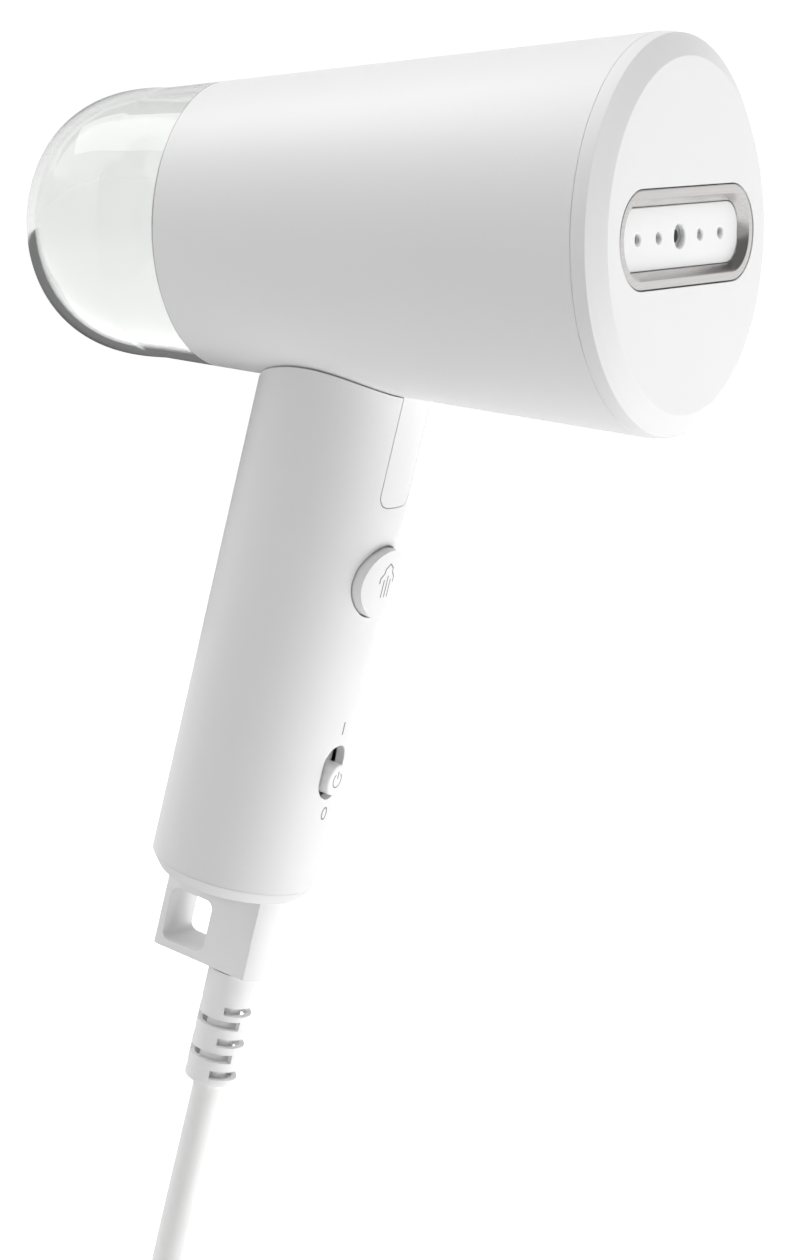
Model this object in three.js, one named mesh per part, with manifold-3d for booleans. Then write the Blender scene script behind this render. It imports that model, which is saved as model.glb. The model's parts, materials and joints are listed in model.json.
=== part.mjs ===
// A foldable travel garment steamer, in millimetres, +Z up.
// Origin: on the handle's axis, in the middle of the grip. +X points to the steam plate.
// The head (with the water tank at its back) swings about a pin in the handle's top.
import * as THREE from 'three';
import { mergeVertices } from 'three/addons/utils/BufferGeometryUtils.js';
import Module from 'manifold-3d';

const wasm = await Module();
wasm.setup();

// ---------- driving dimensions ----------
const GAP = 0.3; // clearance between pieces that touch
const ROUND = 40; // facets of a large turned piece
const SMALL = 20; // facets of a small turned piece
const TINY = 12; // facets of a pin or a screw

// The head, turned about its axis. A depth is a distance behind the flat steam face.
const FACE_RADIUS = 37.4;
const BEVEL_DEPTH = 2.8;
const BEVEL_RADIUS = 42.35;
const BAND_DEPTH = 5.95; // back edge of the white band that belongs to the front cover
const BODY_RADIUS = 42.5; // where the body's cone starts, behind the band
const BODY_TAPER = THREE.MathUtils.degToRad(5.87);
const TANK_DEPTH = 112.5; // seam between the body and the water tank
const DOME_DEPTH = 127.1; // where the tank's cone turns into its dome
const TANK_END = 157.9;
const DOME_POWER = 2.57; // exponent of the dome's superellipse
const BODY_WALL = 2.2;
const TANK_WALL = 1.8;

// The steam outlet: a metal bezel around a recessed white plate with five holes in a row.
const BEZEL_LENGTH = 64.2;
const BEZEL_HEIGHT = 21;
const BEZEL_LIP = 2.1;
const BEZEL_SLOPE = 1.7;
const BEZEL_DEPTH = 5;
const PLATE_DEPTH = 2.05;
const HOLE_PITCH = 9.83;
const HOLE_RADIUS = 1.43;
const MIDDLE_HOLE_RADIUS = 2.7;

// The boiler and the pump inside the head.
const BOILER_RADIUS = 31;
const BOILER_DEPTH = 11.3;
const BOILER_END = 42;
const PUMP_START = 58;
const PUMP_END = 90;
const BULKHEAD_DEPTH = 106;
const NECK_RADIUS = 7;

// The handle, turned about its own axis. A drop is a distance below the head's axis along it.
const LEAN = THREE.MathUtils.degToRad(15);
const GRIP_DROP = 100;
const HANDLE_DEPTH = 73.5; // where the handle's axis crosses the head's axis
const HANDLE_RADIUS = 19;
const HANDLE_WALL = 2;
const HANDLE_END = 148.7;
const CAP_END = 151.9;
const CAP_RADIUS = 16.7;
const HEAD_CLEARANCE = 0.9; // between the handle's saddle-shaped top and the head

// The fold: a pin in the handle's upper back edge, and a tongue of the head in its front.
const PIN_FORWARD = -14.5;
const PIN_DROP = 43.3;
const PIN_RADIUS = 1.5;
const KNUCKLE_HALF = 5.9; // half the width of the head's knuckle
const KNUCKLE_RADIUS = 3.9;
const TONGUE_HALF = 6.2;
const TONGUE_END = 57.7;
const TONGUE_CORNER = 3;
const TONGUE_THICKNESS = 3.4;
const TOP_CAP_END = 61;

// The controls.
const TRIGGER_DROP = 75;
const TRIGGER_RADIUS = 8;
const TRIGGER_FACE = 20.4; // forward of the handle's axis
const TRIGGER_HOLE = 8.65;
const SLIDER_SLOT = [113.6, 126.4];
const SLIDER_SLOT_WIDTH = 8.8;
const KNOB_DROP = 121.6;
const KNOB_RADIUS = 3.6;

// The cable outlet.
const LOOP_DROP = [152.2, 171.9];
const LOOP_BACK = -12.6;
const LOOP_FRONT = 12;
const LOOP_BULGE = 2.3; // how far the front face bows forward
const LOOP_HALF = 6.2;
const LOOP_HOLE = { back: -10.8, front: 0.3, top: 157.3, bottom: 169.9, corner: 2 };
const SLEEVE_FORWARD = 6.2;
const SLEEVE_RADIUS = 5.95;
const SLEEVE_DROP = [172.2, 199.5];
const SLEEVE_SLOTS = [181.4, 185.2, 189, 192.8, 196.6];
const SLEEVE_SLOT_HEIGHT = 2;
const SCREW_FORWARD = -7; // the two screws that hold the hanging loop to the end cap
const SCREW_PLACES = [
  ['right', -9],
  ['left', 9],
];

// The mains lead: 2 m of 7.1 mm flex, most of it wound into a coil beside the object.
const CORD_RADIUS = 3.55;
const FLOOR_Z = -193;
const COIL_CENTRE = [1.5, -37];
const COIL_RADIUS = 39; // at the middle of its turns
const COIL_HALF_WIDTH = 10.65;
const COIL_HEIGHT = 19.4;
const LEAD_ROUTE = [
  [-19.85, 0, -98.1],
  [-22.4, 0, -107.6],
  [-25, 0, -117.2],
  [-27.6, 0, -126.9],
  [-30.05, 0, -136.2],
  [-32, 0, -143.5],
  [-34.3, -1.2, -152.2],
  [-36.5, -4.7, -160.4],
  [-38.4, -10.25, -167.4],
  [-39.1, -13.45, -170.1],
];
const TAIL_ROUTE = [
  [54.5, -45.5, -189.4],
  [56.7, -42.9, -189.45],
  [58.95, -40.2, -189.4],
  [61.35, -37.35, -188.93],
  [63.55, -34.7, -188.08],
];

// The plug on the lead's end, leaning on its collar and its tail.
const PLUG_START = [63.85, -34.35, -187.93];
const PLUG_HEADING = Math.atan2(0.766, 0.643);
const PLUG_TILT = THREE.MathUtils.degToRad(18.8);
const PLUG_COLLAR_RADIUS = 18.5;
const PLUG_COLLAR_LENGTH = 17;
const PLUG_LENGTH = 54;
const EARTH_SLOT = 20.1; // from the plug's axis to the middle of each side slot
const PIN_SPACING = 19;
const PIN_LENGTH = 19;

// ---------- materials ----------
const finish = (color, roughness, metalness = 0) =>
  new THREE.MeshStandardMaterial({ color, roughness, metalness });
const WHITE = finish(0xf2f3f3, 0.45);
const SOFT_WHITE = finish(0xeeeff0, 0.6);
const GREY_PLASTIC = finish(0x8f9497, 0.6);
const BLACK_PLASTIC = finish(0x2a2c2e, 0.6);
const CLEAR = new THREE.MeshStandardMaterial({
  color: 0xe6ecea,
  roughness: 0.1,
  transparent: true,
  opacity: 0.45,
});
const SILICONE = finish(0xb9bfc2, 0.8);
const BRUSHED = finish(0xb4b2af, 0.35, 1);
const ALUMINIUM = finish(0xa9acae, 0.5, 1);
const STEEL = finish(0x9a9da0, 0.4, 1);
const BRASS = finish(0xc9a55c, 0.35, 1);
const BOARD_GREEN = finish(0x2f6b45, 0.6);

// ---------- solids ----------
const X = new THREE.Vector3(1, 0, 0);
const Y = new THREE.Vector3(0, 1, 0);
const Z = new THREE.Vector3(0, 0, 1);

// Signed volume of an indexed geometry: negative when its faces point inwards.
function signedVolume(position, index) {
  const [a, b, c] = [new THREE.Vector3(), new THREE.Vector3(), new THREE.Vector3()];
  let sum = 0;
  for (let i = 0; i < index.length; i += 3) {
    a.fromBufferAttribute(position, index[i]);
    b.fromBufferAttribute(position, index[i + 1]);
    c.fromBufferAttribute(position, index[i + 2]);
    sum += a.dot(b.cross(c)) / 6;
  }
  return sum;
}

// One closed skin: shared vertices merged, flat triangles dropped, faces turned outwards.
function weld(geometry) {
  const bare = new THREE.BufferGeometry();
  bare.setAttribute('position', geometry.getAttribute('position'));
  bare.setIndex(geometry.index);
  const merged = mergeVertices(bare, 1e-4);
  const index = [];
  const all = merged.index.array;
  for (let i = 0; i < all.length; i += 3) {
    const [p, q, r] = [all[i], all[i + 1], all[i + 2]];
    if (p !== q && q !== r && r !== p) index.push(p, q, r);
  }
  if (signedVolume(merged.attributes.position, index) < 0) index.reverse();
  merged.setIndex(index);
  merged.computeVertexNormals();
  return merged;
}

function toManifold(geometry) {
  const welded = weld(geometry);
  const mesh = new wasm.Mesh({
    numProp: 3,
    vertProperties: welded.attributes.position.array,
    triVerts: Uint32Array.from(welded.index.array),
  });
  return new wasm.Manifold(mesh);
}

function fromManifold(solid) {
  const mesh = solid.getMesh();
  const geometry = new THREE.BufferGeometry();
  geometry.setAttribute('position', new THREE.BufferAttribute(mesh.vertProperties, 3));
  geometry.setIndex(Array.from(mesh.triVerts));
  return geometry;
}

const combine = (how, first, rest) =>
  fromManifold(rest.reduce((made, next) => made[how](toManifold(next)), toManifold(first)));
const join = (first, ...rest) => combine('add', first, rest);
const cut = (first, ...rest) => combine('subtract', first, rest);
const common = (first, ...rest) => combine('intersect', first, rest);

// Outlines of turned pieces are [distance along the axis, radius].
function turned(outline, facets) {
  const points = outline.map(([along, radius]) => new THREE.Vector2(radius, along));
  return weld(new THREE.LatheGeometry(points, facets));
}
const closedRing = (outline) => [...outline, outline[0]];
// Turned about the head's axis: distances are depths behind the steam face.
const headTurned = (outline, facets = ROUND) => turned(outline, facets).rotateZ(Math.PI / 2);
// Turned about the handle's axis: distances are drops below the head's axis.
const handleTurned = (outline, facets = ROUND) => turned(outline, facets).rotateX(-Math.PI / 2);
// Turned about a line along +X or +Y.
const forwardTurned = (outline, facets = SMALL) => turned(outline, facets).rotateZ(-Math.PI / 2);
const crossTurned = (outline, facets = SMALL) => turned(outline, facets);
const rod = (from, to, radius) => [
  [from, 0],
  [from, radius],
  [to, radius],
  [to, 0],
];
const tube = (from, to, outer, inner) =>
  closedRing([
    [from, inner],
    [from, outer],
    [to, outer],
    [to, inner],
  ]);

function block([x0, x1], [y0, y1], [z0, z1]) {
  const box = new THREE.BoxGeometry(x1 - x0, y1 - y0, z1 - z0);
  return box.translate((x0 + x1) / 2, (y0 + y1) / 2, (z0 + z1) / 2);
}

// A block in the handle, with its height given by drops below the head's axis.
const handleBlock = (forward, across, [top, bottom]) => block(forward, across, [-bottom, -top]);

// An outline in the plane across the head (first axis +Y, second +Z), extruded along X.
function facePrism(shape, [shallow, deep], curveSegments = 8) {
  const options = { depth: deep - shallow, bevelEnabled: false, curveSegments };
  const prism = new THREE.ExtrudeGeometry(shape, options);
  return prism.applyMatrix4(new THREE.Matrix4().makeBasis(Y, Z, X)).translate(-deep, 0, 0);
}

// An outline in the side plane (first axis +X, second +Z), extruded along Y.
function sidePrism(shape, half, curveSegments = 8) {
  const options = { depth: 2 * half, bevelEnabled: false, curveSegments };
  const prism = new THREE.ExtrudeGeometry(shape, options);
  const turn = new THREE.Matrix4().makeBasis(X, Z, Y.clone().negate());
  return prism.applyMatrix4(turn).translate(0, half, 0);
}

// A slot outline with round ends, centred on the origin, long along its first axis.
function slotOutline(length, height) {
  const r = height / 2;
  const straight = length / 2 - r;
  const shape = new THREE.Shape();
  shape.absarc(straight, 0, r, -Math.PI / 2, Math.PI / 2);
  shape.absarc(-straight, 0, r, Math.PI / 2, (3 * Math.PI) / 2);
  return shape;
}

function polygon(points) {
  return new THREE.Shape(points.map(([x, y]) => new THREE.Vector2(x, y)));
}

function roundedRectangle(left, right, low, high, r) {
  const shape = new THREE.Shape();
  shape.absarc(right - r, high - r, r, 0, Math.PI / 2);
  shape.absarc(left + r, high - r, r, Math.PI / 2, Math.PI);
  shape.absarc(left + r, low + r, r, Math.PI, (3 * Math.PI) / 2);
  shape.absarc(right - r, low + r, r, (3 * Math.PI) / 2, 2 * Math.PI);
  return shape;
}

// A closed solid through rings of points, with flat ends. Every ring has as many points.
function skin(rings) {
  const count = rings[0].length;
  const points = rings.flat();
  const index = [];
  for (let ring = 0; ring + 1 < rings.length; ring++) {
    for (let i = 0; i < count; i++) {
      const [a, b] = [ring * count + i, ring * count + ((i + 1) % count)];
      index.push(a, b, b + count, a, b + count, a + count);
    }
  }
  const last = (rings.length - 1) * count;
  for (let i = 1; i + 1 < count; i++) {
    index.push(0, i + 1, i, last, last + i, last + i + 1);
  }
  const geometry = new THREE.BufferGeometry().setFromPoints(points);
  geometry.setIndex(index);
  return weld(geometry);
}

// A round bar along a smooth curve through points.
function bar(points, radius, { sides = 8, steps = 12 } = {}) {
  const path = new THREE.CatmullRomCurve3(points.map((p) => new THREE.Vector3(...p)));
  const section = new THREE.Shape(ringPoints(radius, sides));
  return new THREE.ExtrudeGeometry(section, { steps, extrudePath: path, bevelEnabled: false });
}

function ringPoints(radius, count) {
  return Array.from({ length: count }, (_, i) => {
    const angle = (2 * Math.PI * i) / count;
    return new THREE.Vector2(radius * Math.cos(angle), radius * Math.sin(angle));
  });
}

// ---------- the assembly's groups ----------
const steamer = new THREE.Group();
steamer.name = 'garment_steamer';

// In the handle's group z is minus the drop, and +X is the handle's front.
const handle = new THREE.Group();
handle.position.set(GRIP_DROP * Math.sin(LEAN), 0, GRIP_DROP * Math.cos(LEAN));
handle.rotation.y = LEAN;
steamer.add(handle);

// In the head's group x is minus the depth, and z is measured from the head's axis.
const head = new THREE.Group();
head.position.copy(handle.position).add(new THREE.Vector3(HANDLE_DEPTH, 0, 0));
steamer.add(head);

handle.updateMatrix();
head.updateMatrix();
const headToHandle = handle.matrix.clone().invert().multiply(head.matrix);
const handleToHead = headToHandle.clone().invert();

function add(group, name, geometry, material) {
  const mesh = new THREE.Mesh(weld(geometry), material.clone());
  mesh.name = name;
  group.add(mesh);
  return mesh;
}

// ---------- the head's outer pieces ----------
const bodyRadius = (depth) => BODY_RADIUS - (depth - BAND_DEPTH) * Math.tan(BODY_TAPER);

function frontCover() {
  const skirt = (depth) => bodyRadius(depth) - BODY_WALL - GAP;
  const solid = headTurned([
    [0, 0],
    [0, FACE_RADIUS],
    [BEVEL_DEPTH, BEVEL_RADIUS],
    [BAND_DEPTH, BODY_RADIUS],
    [BAND_DEPTH, skirt(BAND_DEPTH)],
    [12, skirt(12)],
    [12, skirt(12) - 1.8],
    [5, skirt(12) - 1.8],
    [3, FACE_RADIUS - 2],
    [2.5, FACE_RADIUS - 4],
    [2.5, 0],
  ]);
  return cut(solid, facePrism(slotOutline(BEZEL_LENGTH, BEZEL_HEIGHT), [-1, 8]));
}

// A slot-shaped ring of section [inset from the bezel's outline, depth] at a height inset.
function slotRing(inset, depth) {
  const length = BEZEL_LENGTH - 2 * inset;
  const outline = slotOutline(length, BEZEL_HEIGHT - 2 * inset).getPoints(8);
  const points = outline.slice(0, -1).map((p) => new THREE.Vector3(-depth, p.x, p.y));
  return points;
}

function steamBezel() {
  const outer = skin([slotRing(GAP, 0), slotRing(GAP, BEZEL_DEPTH)]);
  const inner = BEZEL_LIP + BEZEL_SLOPE;
  const funnel = skin([
    slotRing(BEZEL_LIP - BEZEL_SLOPE / 2, -PLATE_DEPTH / 2),
    slotRing(inner, PLATE_DEPTH),
    slotRing(inner, BEZEL_DEPTH + 1),
  ]);
  return cut(outer, funnel);
}

function steamHoles(depths) {
  return [-2, -1, 0, 1, 2].map((place) => {
    const radius = place === 0 ? MIDDLE_HOLE_RADIUS : HOLE_RADIUS;
    return headTurned(rod(...depths, radius), TINY + 4).translate(0, place * HOLE_PITCH, 0);
  });
}

function steamPlate() {
  const inset = BEZEL_LIP + BEZEL_SLOPE + GAP;
  const boss = slotOutline(BEZEL_LENGTH - 2 * inset, BEZEL_HEIGHT - 2 * inset);
  const plate = join(
    facePrism(boss, [PLATE_DEPTH, BEZEL_DEPTH + 1]),
    facePrism(slotOutline(BEZEL_LENGTH - 2, BEZEL_HEIGHT - 2), [BEZEL_DEPTH + GAP, 6.6]),
  );
  return cut(plate, ...steamHoles([PLATE_DEPTH - 1, 8]));
}

function plateGasket() {
  const shape = slotOutline(BEZEL_LENGTH - 4, BEZEL_HEIGHT - 4);
  shape.holes.push(new THREE.Path(slotOutline(50, 9).getPoints(8).reverse()));
  return facePrism(shape, [6.9, 8.3]);
}

// The head's moulded body, with the tongue that fills the slot in the handle's front and the
// knuckle that the fold's pin goes through.
function headShell() {
  const front = BAND_DEPTH + GAP;
  const back = TANK_DEPTH - GAP / 2;
  const cone = headTurned(
    closedRing([
      [front, bodyRadius(front) - BODY_WALL],
      [front, bodyRadius(front)],
      [back, bodyRadius(back)],
      [back, bodyRadius(back) - BODY_WALL],
    ]),
  );
  const tongue = common(
    handleTurned(tube(32, 60, HANDLE_RADIUS, HANDLE_RADIUS - TONGUE_THICKNESS)),
    facePrism(tongueOutline(TONGUE_HALF, TONGUE_END, 28), [-25, -5]),
  );
  const pin = new THREE.Vector3(PIN_FORWARD, 0, -PIN_DROP).applyMatrix4(handleToHead);
  const web = block(
    [pin.x - KNUCKLE_RADIUS, pin.x + KNUCKLE_RADIUS],
    [-KNUCKLE_HALF, KNUCKLE_HALF],
    [pin.z, -bodyRadius(-pin.x) + 1.7],
  );
  const knuckle = crossTurned(rod(-KNUCKLE_HALF, KNUCKLE_HALF, KNUCKLE_RADIUS));
  const pinHole = crossTurned(rod(-10, 10, PIN_RADIUS + 0.2), TINY + 4);
  const wireHole = turned(rod(-40, -20, 4), TINY + 4).rotateX(Math.PI / 2);
  const flush = handleTurned(rod(20, 60, HANDLE_RADIUS - GAP)).applyMatrix4(handleToHead);
  const lug = common(join(web, knuckle.translate(pin.x, 0, pin.z)), flush);
  const whole = join(cone, tongue.applyMatrix4(handleToHead), lug);
  return cut(
    whole,
    pinHole.translate(pin.x, 0, pin.z),
    wireHole.translate(-HANDLE_DEPTH - 8, 0, 0),
  );
}

// The tongue seen from the front: straight sides and a round-cornered lower end.
function tongueOutline(half, end, top) {
  const r = TONGUE_CORNER;
  const shape = new THREE.Shape();
  shape.moveTo(half, -top);
  shape.lineTo(-half, -top);
  shape.absarc(-half + r, -end + r, r, Math.PI, (3 * Math.PI) / 2);
  shape.absarc(half - r, -end + r, r, (3 * Math.PI) / 2, 2 * Math.PI);
  return shape;
}

// ---------- inside the head ----------
function boilerLid() {
  const disc = headTurned(rod(8.6, 11, BOILER_RADIUS));
  return cut(disc, facePrism(slotOutline(44, 6), [8, 12]));
}

function boilerBody() {
  const cup = headTurned([
    [BOILER_END, 0],
    [BOILER_END, BOILER_RADIUS],
    [BOILER_DEPTH, BOILER_RADIUS],
    [BOILER_DEPTH, BOILER_RADIUS - 4],
    [BOILER_END - 5, BOILER_RADIUS - 5],
    [BOILER_END - 5, 0],
  ]);
  const inlet = headTurned(rod(BOILER_END - 8, BOILER_END + 2, 1.5), TINY);
  return cut(cup, inlet);
}

// A ring-shaped tubular element against the boiler's back, its cold ends turned backwards.
function heatingElement() {
  const depth = BOILER_END + 4;
  const ringRadius = 22;
  const points = [];
  for (let degrees = -70; degrees <= 250; degrees += 32) {
    const angle = THREE.MathUtils.degToRad(degrees);
    points.push([-depth, ringRadius * Math.cos(angle), ringRadius * Math.sin(angle)]);
  }
  const [first, last] = [points[0], points[points.length - 1]];
  points.unshift([first[0] - 9, first[1], first[2] - 2]);
  points.push([last[0] - 9, last[1], last[2] - 2]);
  return bar(points, 3.2, { steps: 26 });
}

function insulationSleeve() {
  return headTurned(tube(12.5, 50, 34.4, 33.4), 32);
}

function thermostat() {
  const disc = headTurned(
    [
      [BOILER_END + GAP, 0],
      [BOILER_END + GAP, 7.4],
      [BOILER_END + 3.5, 7.4],
      [BOILER_END + 3.5, 6],
      [BOILER_END + 7, 6],
      [BOILER_END + 7, 0],
    ],
    SMALL,
  );
  return disc.translate(0, 0, -10.5);
}

function thermalFuse() {
  const outline = [
    [-9, 0],
    [-9, 0.6],
    [-6, 0.6],
    [-6, 2],
    [6, 2],
    [6, 0.6],
    [9, 0.6],
    [9, 0],
  ];
  const body = crossTurned(outline, TINY);
  return body.translate(-(BOILER_END + GAP + 2.2), 0, 13.5);
}

function pumpBody() {
  const barrel = headTurned(
    [
      [PUMP_START - 5, 0],
      [PUMP_START - 5, 2.6],
      [PUMP_START, 2.6],
      [PUMP_START, 8],
      [PUMP_START + 5, 11],
      [PUMP_END - 4, 11],
      [PUMP_END, 7],
      [PUMP_END, 2.6],
      [PUMP_END + 4, 2.6],
      [PUMP_END + 4, 0],
    ],
    SMALL,
  );
  const coil = block([-PUMP_END + 8, -PUMP_START - 8], [-12.5, 12.5], [-6, 12.5]);
  return join(barrel, coil);
}

// A cradle that stands on the body's floor, with two upright sides under the pump's barrel.
function pumpBracket() {
  const outline = polygon([
    [-12, -28.5],
    [12, -28.5],
    [12, -8],
    [9.5, -8],
    [9.5, -26],
    [-9.5, -26],
    [-9.5, -8],
    [-12, -8],
  ]);
  return facePrism(outline, [PUMP_START + 8, PUMP_END - 8]);
}

// A short straight pipe on the head's axis between two depths.
function waterPipe(from, to) {
  return headTurned(tube(from + GAP, to - GAP, 2.4, 1.3), TINY);
}

// The wall at the back of the head, with the cup that takes the tank's neck.
function tankSocket() {
  const cup = BULKHEAD_DEPTH - 8;
  const wall = bodyRadius(BULKHEAD_DEPTH + 2.5) - BODY_WALL - GAP;
  const socket = headTurned([
    [cup, 0],
    [cup, 10.6],
    [BULKHEAD_DEPTH, 10.6],
    [BULKHEAD_DEPTH, wall],
    [BULKHEAD_DEPTH + 2.5, wall],
    [BULKHEAD_DEPTH + 2.5, NECK_RADIUS + 1.8],
    [cup + 2, NECK_RADIUS + 1.8],
    [cup + 2, 0],
  ]);
  return cut(socket, headTurned(rod(cup - 1, cup + 3, 1.5), TINY));
}

function socketSeal() {
  const middle = { depth: BULKHEAD_DEPTH - 1, radius: NECK_RADIUS + 0.9 };
  const section = ringPoints(0.6, 6).map((p) => [middle.depth + p.y, middle.radius + p.x]);
  return headTurned(closedRing(section), SMALL);
}

// ---------- the water tank ----------
function domeOutline(inset, steps) {
  const start = bodyRadius(DOME_DEPTH) - inset;
  const length = TANK_END - DOME_DEPTH - inset;
  return Array.from({ length: steps + 1 }, (_, i) => {
    const angle = (Math.PI / 2) * (i / steps);
    const along = Math.sin(angle) ** (2 / DOME_POWER);
    const radius = Math.cos(angle) ** (2 / DOME_POWER);
    return [DOME_DEPTH + length * along, i === steps ? 0 : start * radius];
  });
}

function tankShell() {
  const front = TANK_DEPTH + GAP / 2;
  const outer = [[front, bodyRadius(front)], ...domeOutline(0, 8)];
  const inner = [[front, bodyRadius(front) - TANK_WALL], ...domeOutline(TANK_WALL, 5)];
  return headTurned([...outer, ...inner.reverse(), outer[0]]);
}

// The tank's front wall, with the neck that goes into the socket and the filler hole.
function tankBase() {
  const wall = bodyRadius(TANK_DEPTH + 4) - TANK_WALL - GAP;
  const front = TANK_DEPTH + 0.7;
  const disc = headTurned([
    [front + 2.4, NECK_RADIUS - 2],
    [front + 2.4, wall],
    [front, wall],
    [front, NECK_RADIUS],
    [BULKHEAD_DEPTH - 4.5, NECK_RADIUS],
    [BULKHEAD_DEPTH - 4.5, NECK_RADIUS - 2],
    [front + 2.4, NECK_RADIUS - 2],
  ]);
  return cut(disc, headTurned(rod(front - 2, front + 5, 6), SMALL).translate(0, 0, 17));
}

function outletValve() {
  const front = BULKHEAD_DEPTH - 4;
  const section = closedRing([
    [front, 1],
    [front, 4.4],
    [front + 4, 4.7],
    [front + 9, 4.7],
    [front + 9, 1],
  ]);
  return headTurned(section, 16);
}

function fillerStopper() {
  const face = TANK_DEPTH + 0.7;
  const plug = headTurned(
    [
      [face - 2, 0],
      [face - 2, 7.4],
      [face - GAP, 7.4],
      [face - GAP, 5.7],
      [face + 5, 5.3],
      [face + 5, 0],
    ],
    SMALL,
  );
  return plug.translate(0, 0, 17);
}

// ---------- the handle ----------
// The space that the head takes up, with the clearance that the handle's top keeps to it.
function headEnvelope(clearance) {
  const wide = (depth) => bodyRadius(depth) + clearance;
  return headTurned([[0, 0], [0, wide(0)], [150, wide(150)], [150, 0]]).applyMatrix4(headToHandle);
}

// Round the pin the handle's upper back edge is a drum that keeps clear of the turning head.
function pinDrum(extra) {
  const outline = [-13, -10, -6, 0, 6, 10, 13].map((y) => [y, 4.3 + (y * y) / 66 + extra]);
  const drum = crossTurned([[-13, 0], ...outline, [13, 0]], 32);
  return drum.translate(PIN_FORWARD, 0, -PIN_DROP);
}

function handleShell() {
  const inside = HANDLE_RADIUS - HANDLE_WALL;
  const wall = handleTurned(tube(25, HANDLE_END, HANDLE_RADIUS, inside));
  const lugs = common(
    cut(pinDrum(0), block([-40, 40], [-KNUCKLE_HALF - GAP, KNUCKLE_HALF + GAP], [-80, 0])),
    handleTurned(rod(30, 60, HANDLE_RADIUS - 0.01)),
  );
  const aboveDrum = cut(handleBlock([-25, PIN_FORWARD], [-13, 13], [20, PIN_DROP]), pinDrum(0));
  const notch = handleBlock([-25, -9.9], [-KNUCKLE_HALF - GAP, KNUCKLE_HALF + GAP], [20, 48.3]);
  const pinHole = crossTurned(rod(-9.5, 20, PIN_RADIUS + 0.2), TINY + 4);
  const slot = facePrism(tongueOutline(TONGUE_HALF + GAP, TONGUE_END + GAP, 20), [-25, -8]);
  const triggerHole = forwardTurned(rod(5, 25, TRIGGER_HOLE), 32).translate(0, 0, -TRIGGER_DROP);
  const sliderSlot = facePrism(sliderOutline(), [-25, -5]);
  const cover = join(cut(wall, aboveDrum), lugs);
  return cut(
    cover,
    headEnvelope(HEAD_CLEARANCE),
    notch,
    pinHole.translate(PIN_FORWARD, 0, -PIN_DROP),
    slot,
    triggerHole,
    sliderSlot,
  );
}

function sliderOutline() {
  const [top, bottom] = SLIDER_SLOT;
  const half = SLIDER_SLOT_WIDTH / 2;
  return roundedRectangle(-half, half, -bottom, -top, half - 0.01);
}

// Closes the handle's top under the head, with pockets for the tongue and the knuckle.
function handleTopCap() {
  const plug = handleTurned(rod(25, TOP_CAP_END, HANDLE_RADIUS - HANDLE_WALL - GAP));
  const pocket = new THREE.Shape();
  const innerFace = HANDLE_RADIUS - TONGUE_THICKNESS;
  const behindTongue = Math.sqrt(innerFace ** 2 - TONGUE_HALF ** 2) - GAP;
  const swing = behindTongue - PIN_FORWARD;
  pocket.moveTo(30, -TONGUE_END - 0.6);
  pocket.lineTo(behindTongue, -TONGUE_END - 0.6);
  pocket.lineTo(behindTongue, -PIN_DROP);
  pocket.absarc(PIN_FORWARD, -PIN_DROP, swing, 0, THREE.MathUtils.degToRad(40));
  pocket.lineTo(30, -20);
  return cut(
    plug,
    headEnvelope(HEAD_CLEARANCE),
    sidePrism(pocket, TONGUE_HALF + 0.4),
    handleBlock([-25, -9.9], [-20, 20], [20, 48.3]),
    pinDrum(GAP),
    handleBlock([-12, -2.7], [-5.3, 5.3], [47.2, 48.3]),
    handleTurned(rod(50, TOP_CAP_END + 1, HANDLE_RADIUS - 5)),
  );
}

function hingePin() {
  return crossTurned(rod(-9.2, 11, PIN_RADIUS), TINY + 4).translate(PIN_FORWARD, 0, -PIN_DROP);
}

function detentLeaf() {
  return handleBlock([-15.5, -3], [-5, 5], [47.55, 48]);
}

// The long carrier that holds the switches and the board, with a post under each switch.
function innerFrame() {
  const outline = polygon([
    [-3.5, -62],
    [-1.5, -62],
    [-1.5, -69],
    [3, -69],
    [3, -81],
    [-1.5, -81],
    [-1.5, -112],
    [3, -112],
    [3, -128],
    [-1.5, -128],
    [-1.5, -139],
    [-3.5, -139],
  ]);
  return sidePrism(outline, 13);
}

function triggerButton() {
  const face = TRIGGER_FACE;
  const r = TRIGGER_RADIUS;
  return forwardTurned(
    [
      [12.6, 0],
      [12.6, 2],
      [face - 2, 2],
      [face - 2, r - 1.8],
      [11.8, r - 1.8],
      [11.8, r + 1.4],
      [13.2, r + 1.4],
      [13.2, r],
      [face - 0.9, r],
      [face - 0.25, r - 0.65],
      [face, r - 1.4],
      [face, 0],
    ],
    24,
  ).translate(0, 0, -TRIGGER_DROP);
}

function triggerSpring() {
  const turns = 4;
  const [from, to] = [10.3, TRIGGER_FACE - 2.8];
  const perTurn = 8;
  const points = [];
  for (let i = 0; i <= turns * perTurn; i++) {
    const angle = (2 * Math.PI * i) / perTurn;
    const along = from + ((to - from) * i) / (turns * perTurn);
    points.push([along, 4.2 * Math.cos(angle), 4.2 * Math.sin(angle) - TRIGGER_DROP]);
  }
  return bar(points, 0.4, { sides: 5, steps: turns * 10 });
}

function microswitch() {
  const plunger = forwardTurned(rod(8, 10.2, 1), TINY);
  return join(
    handleBlock([3.3, 9.4], [-6.4, 6.4], [71.5, 78.5]),
    plunger.translate(0, 0, -TRIGGER_DROP),
  );
}

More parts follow.
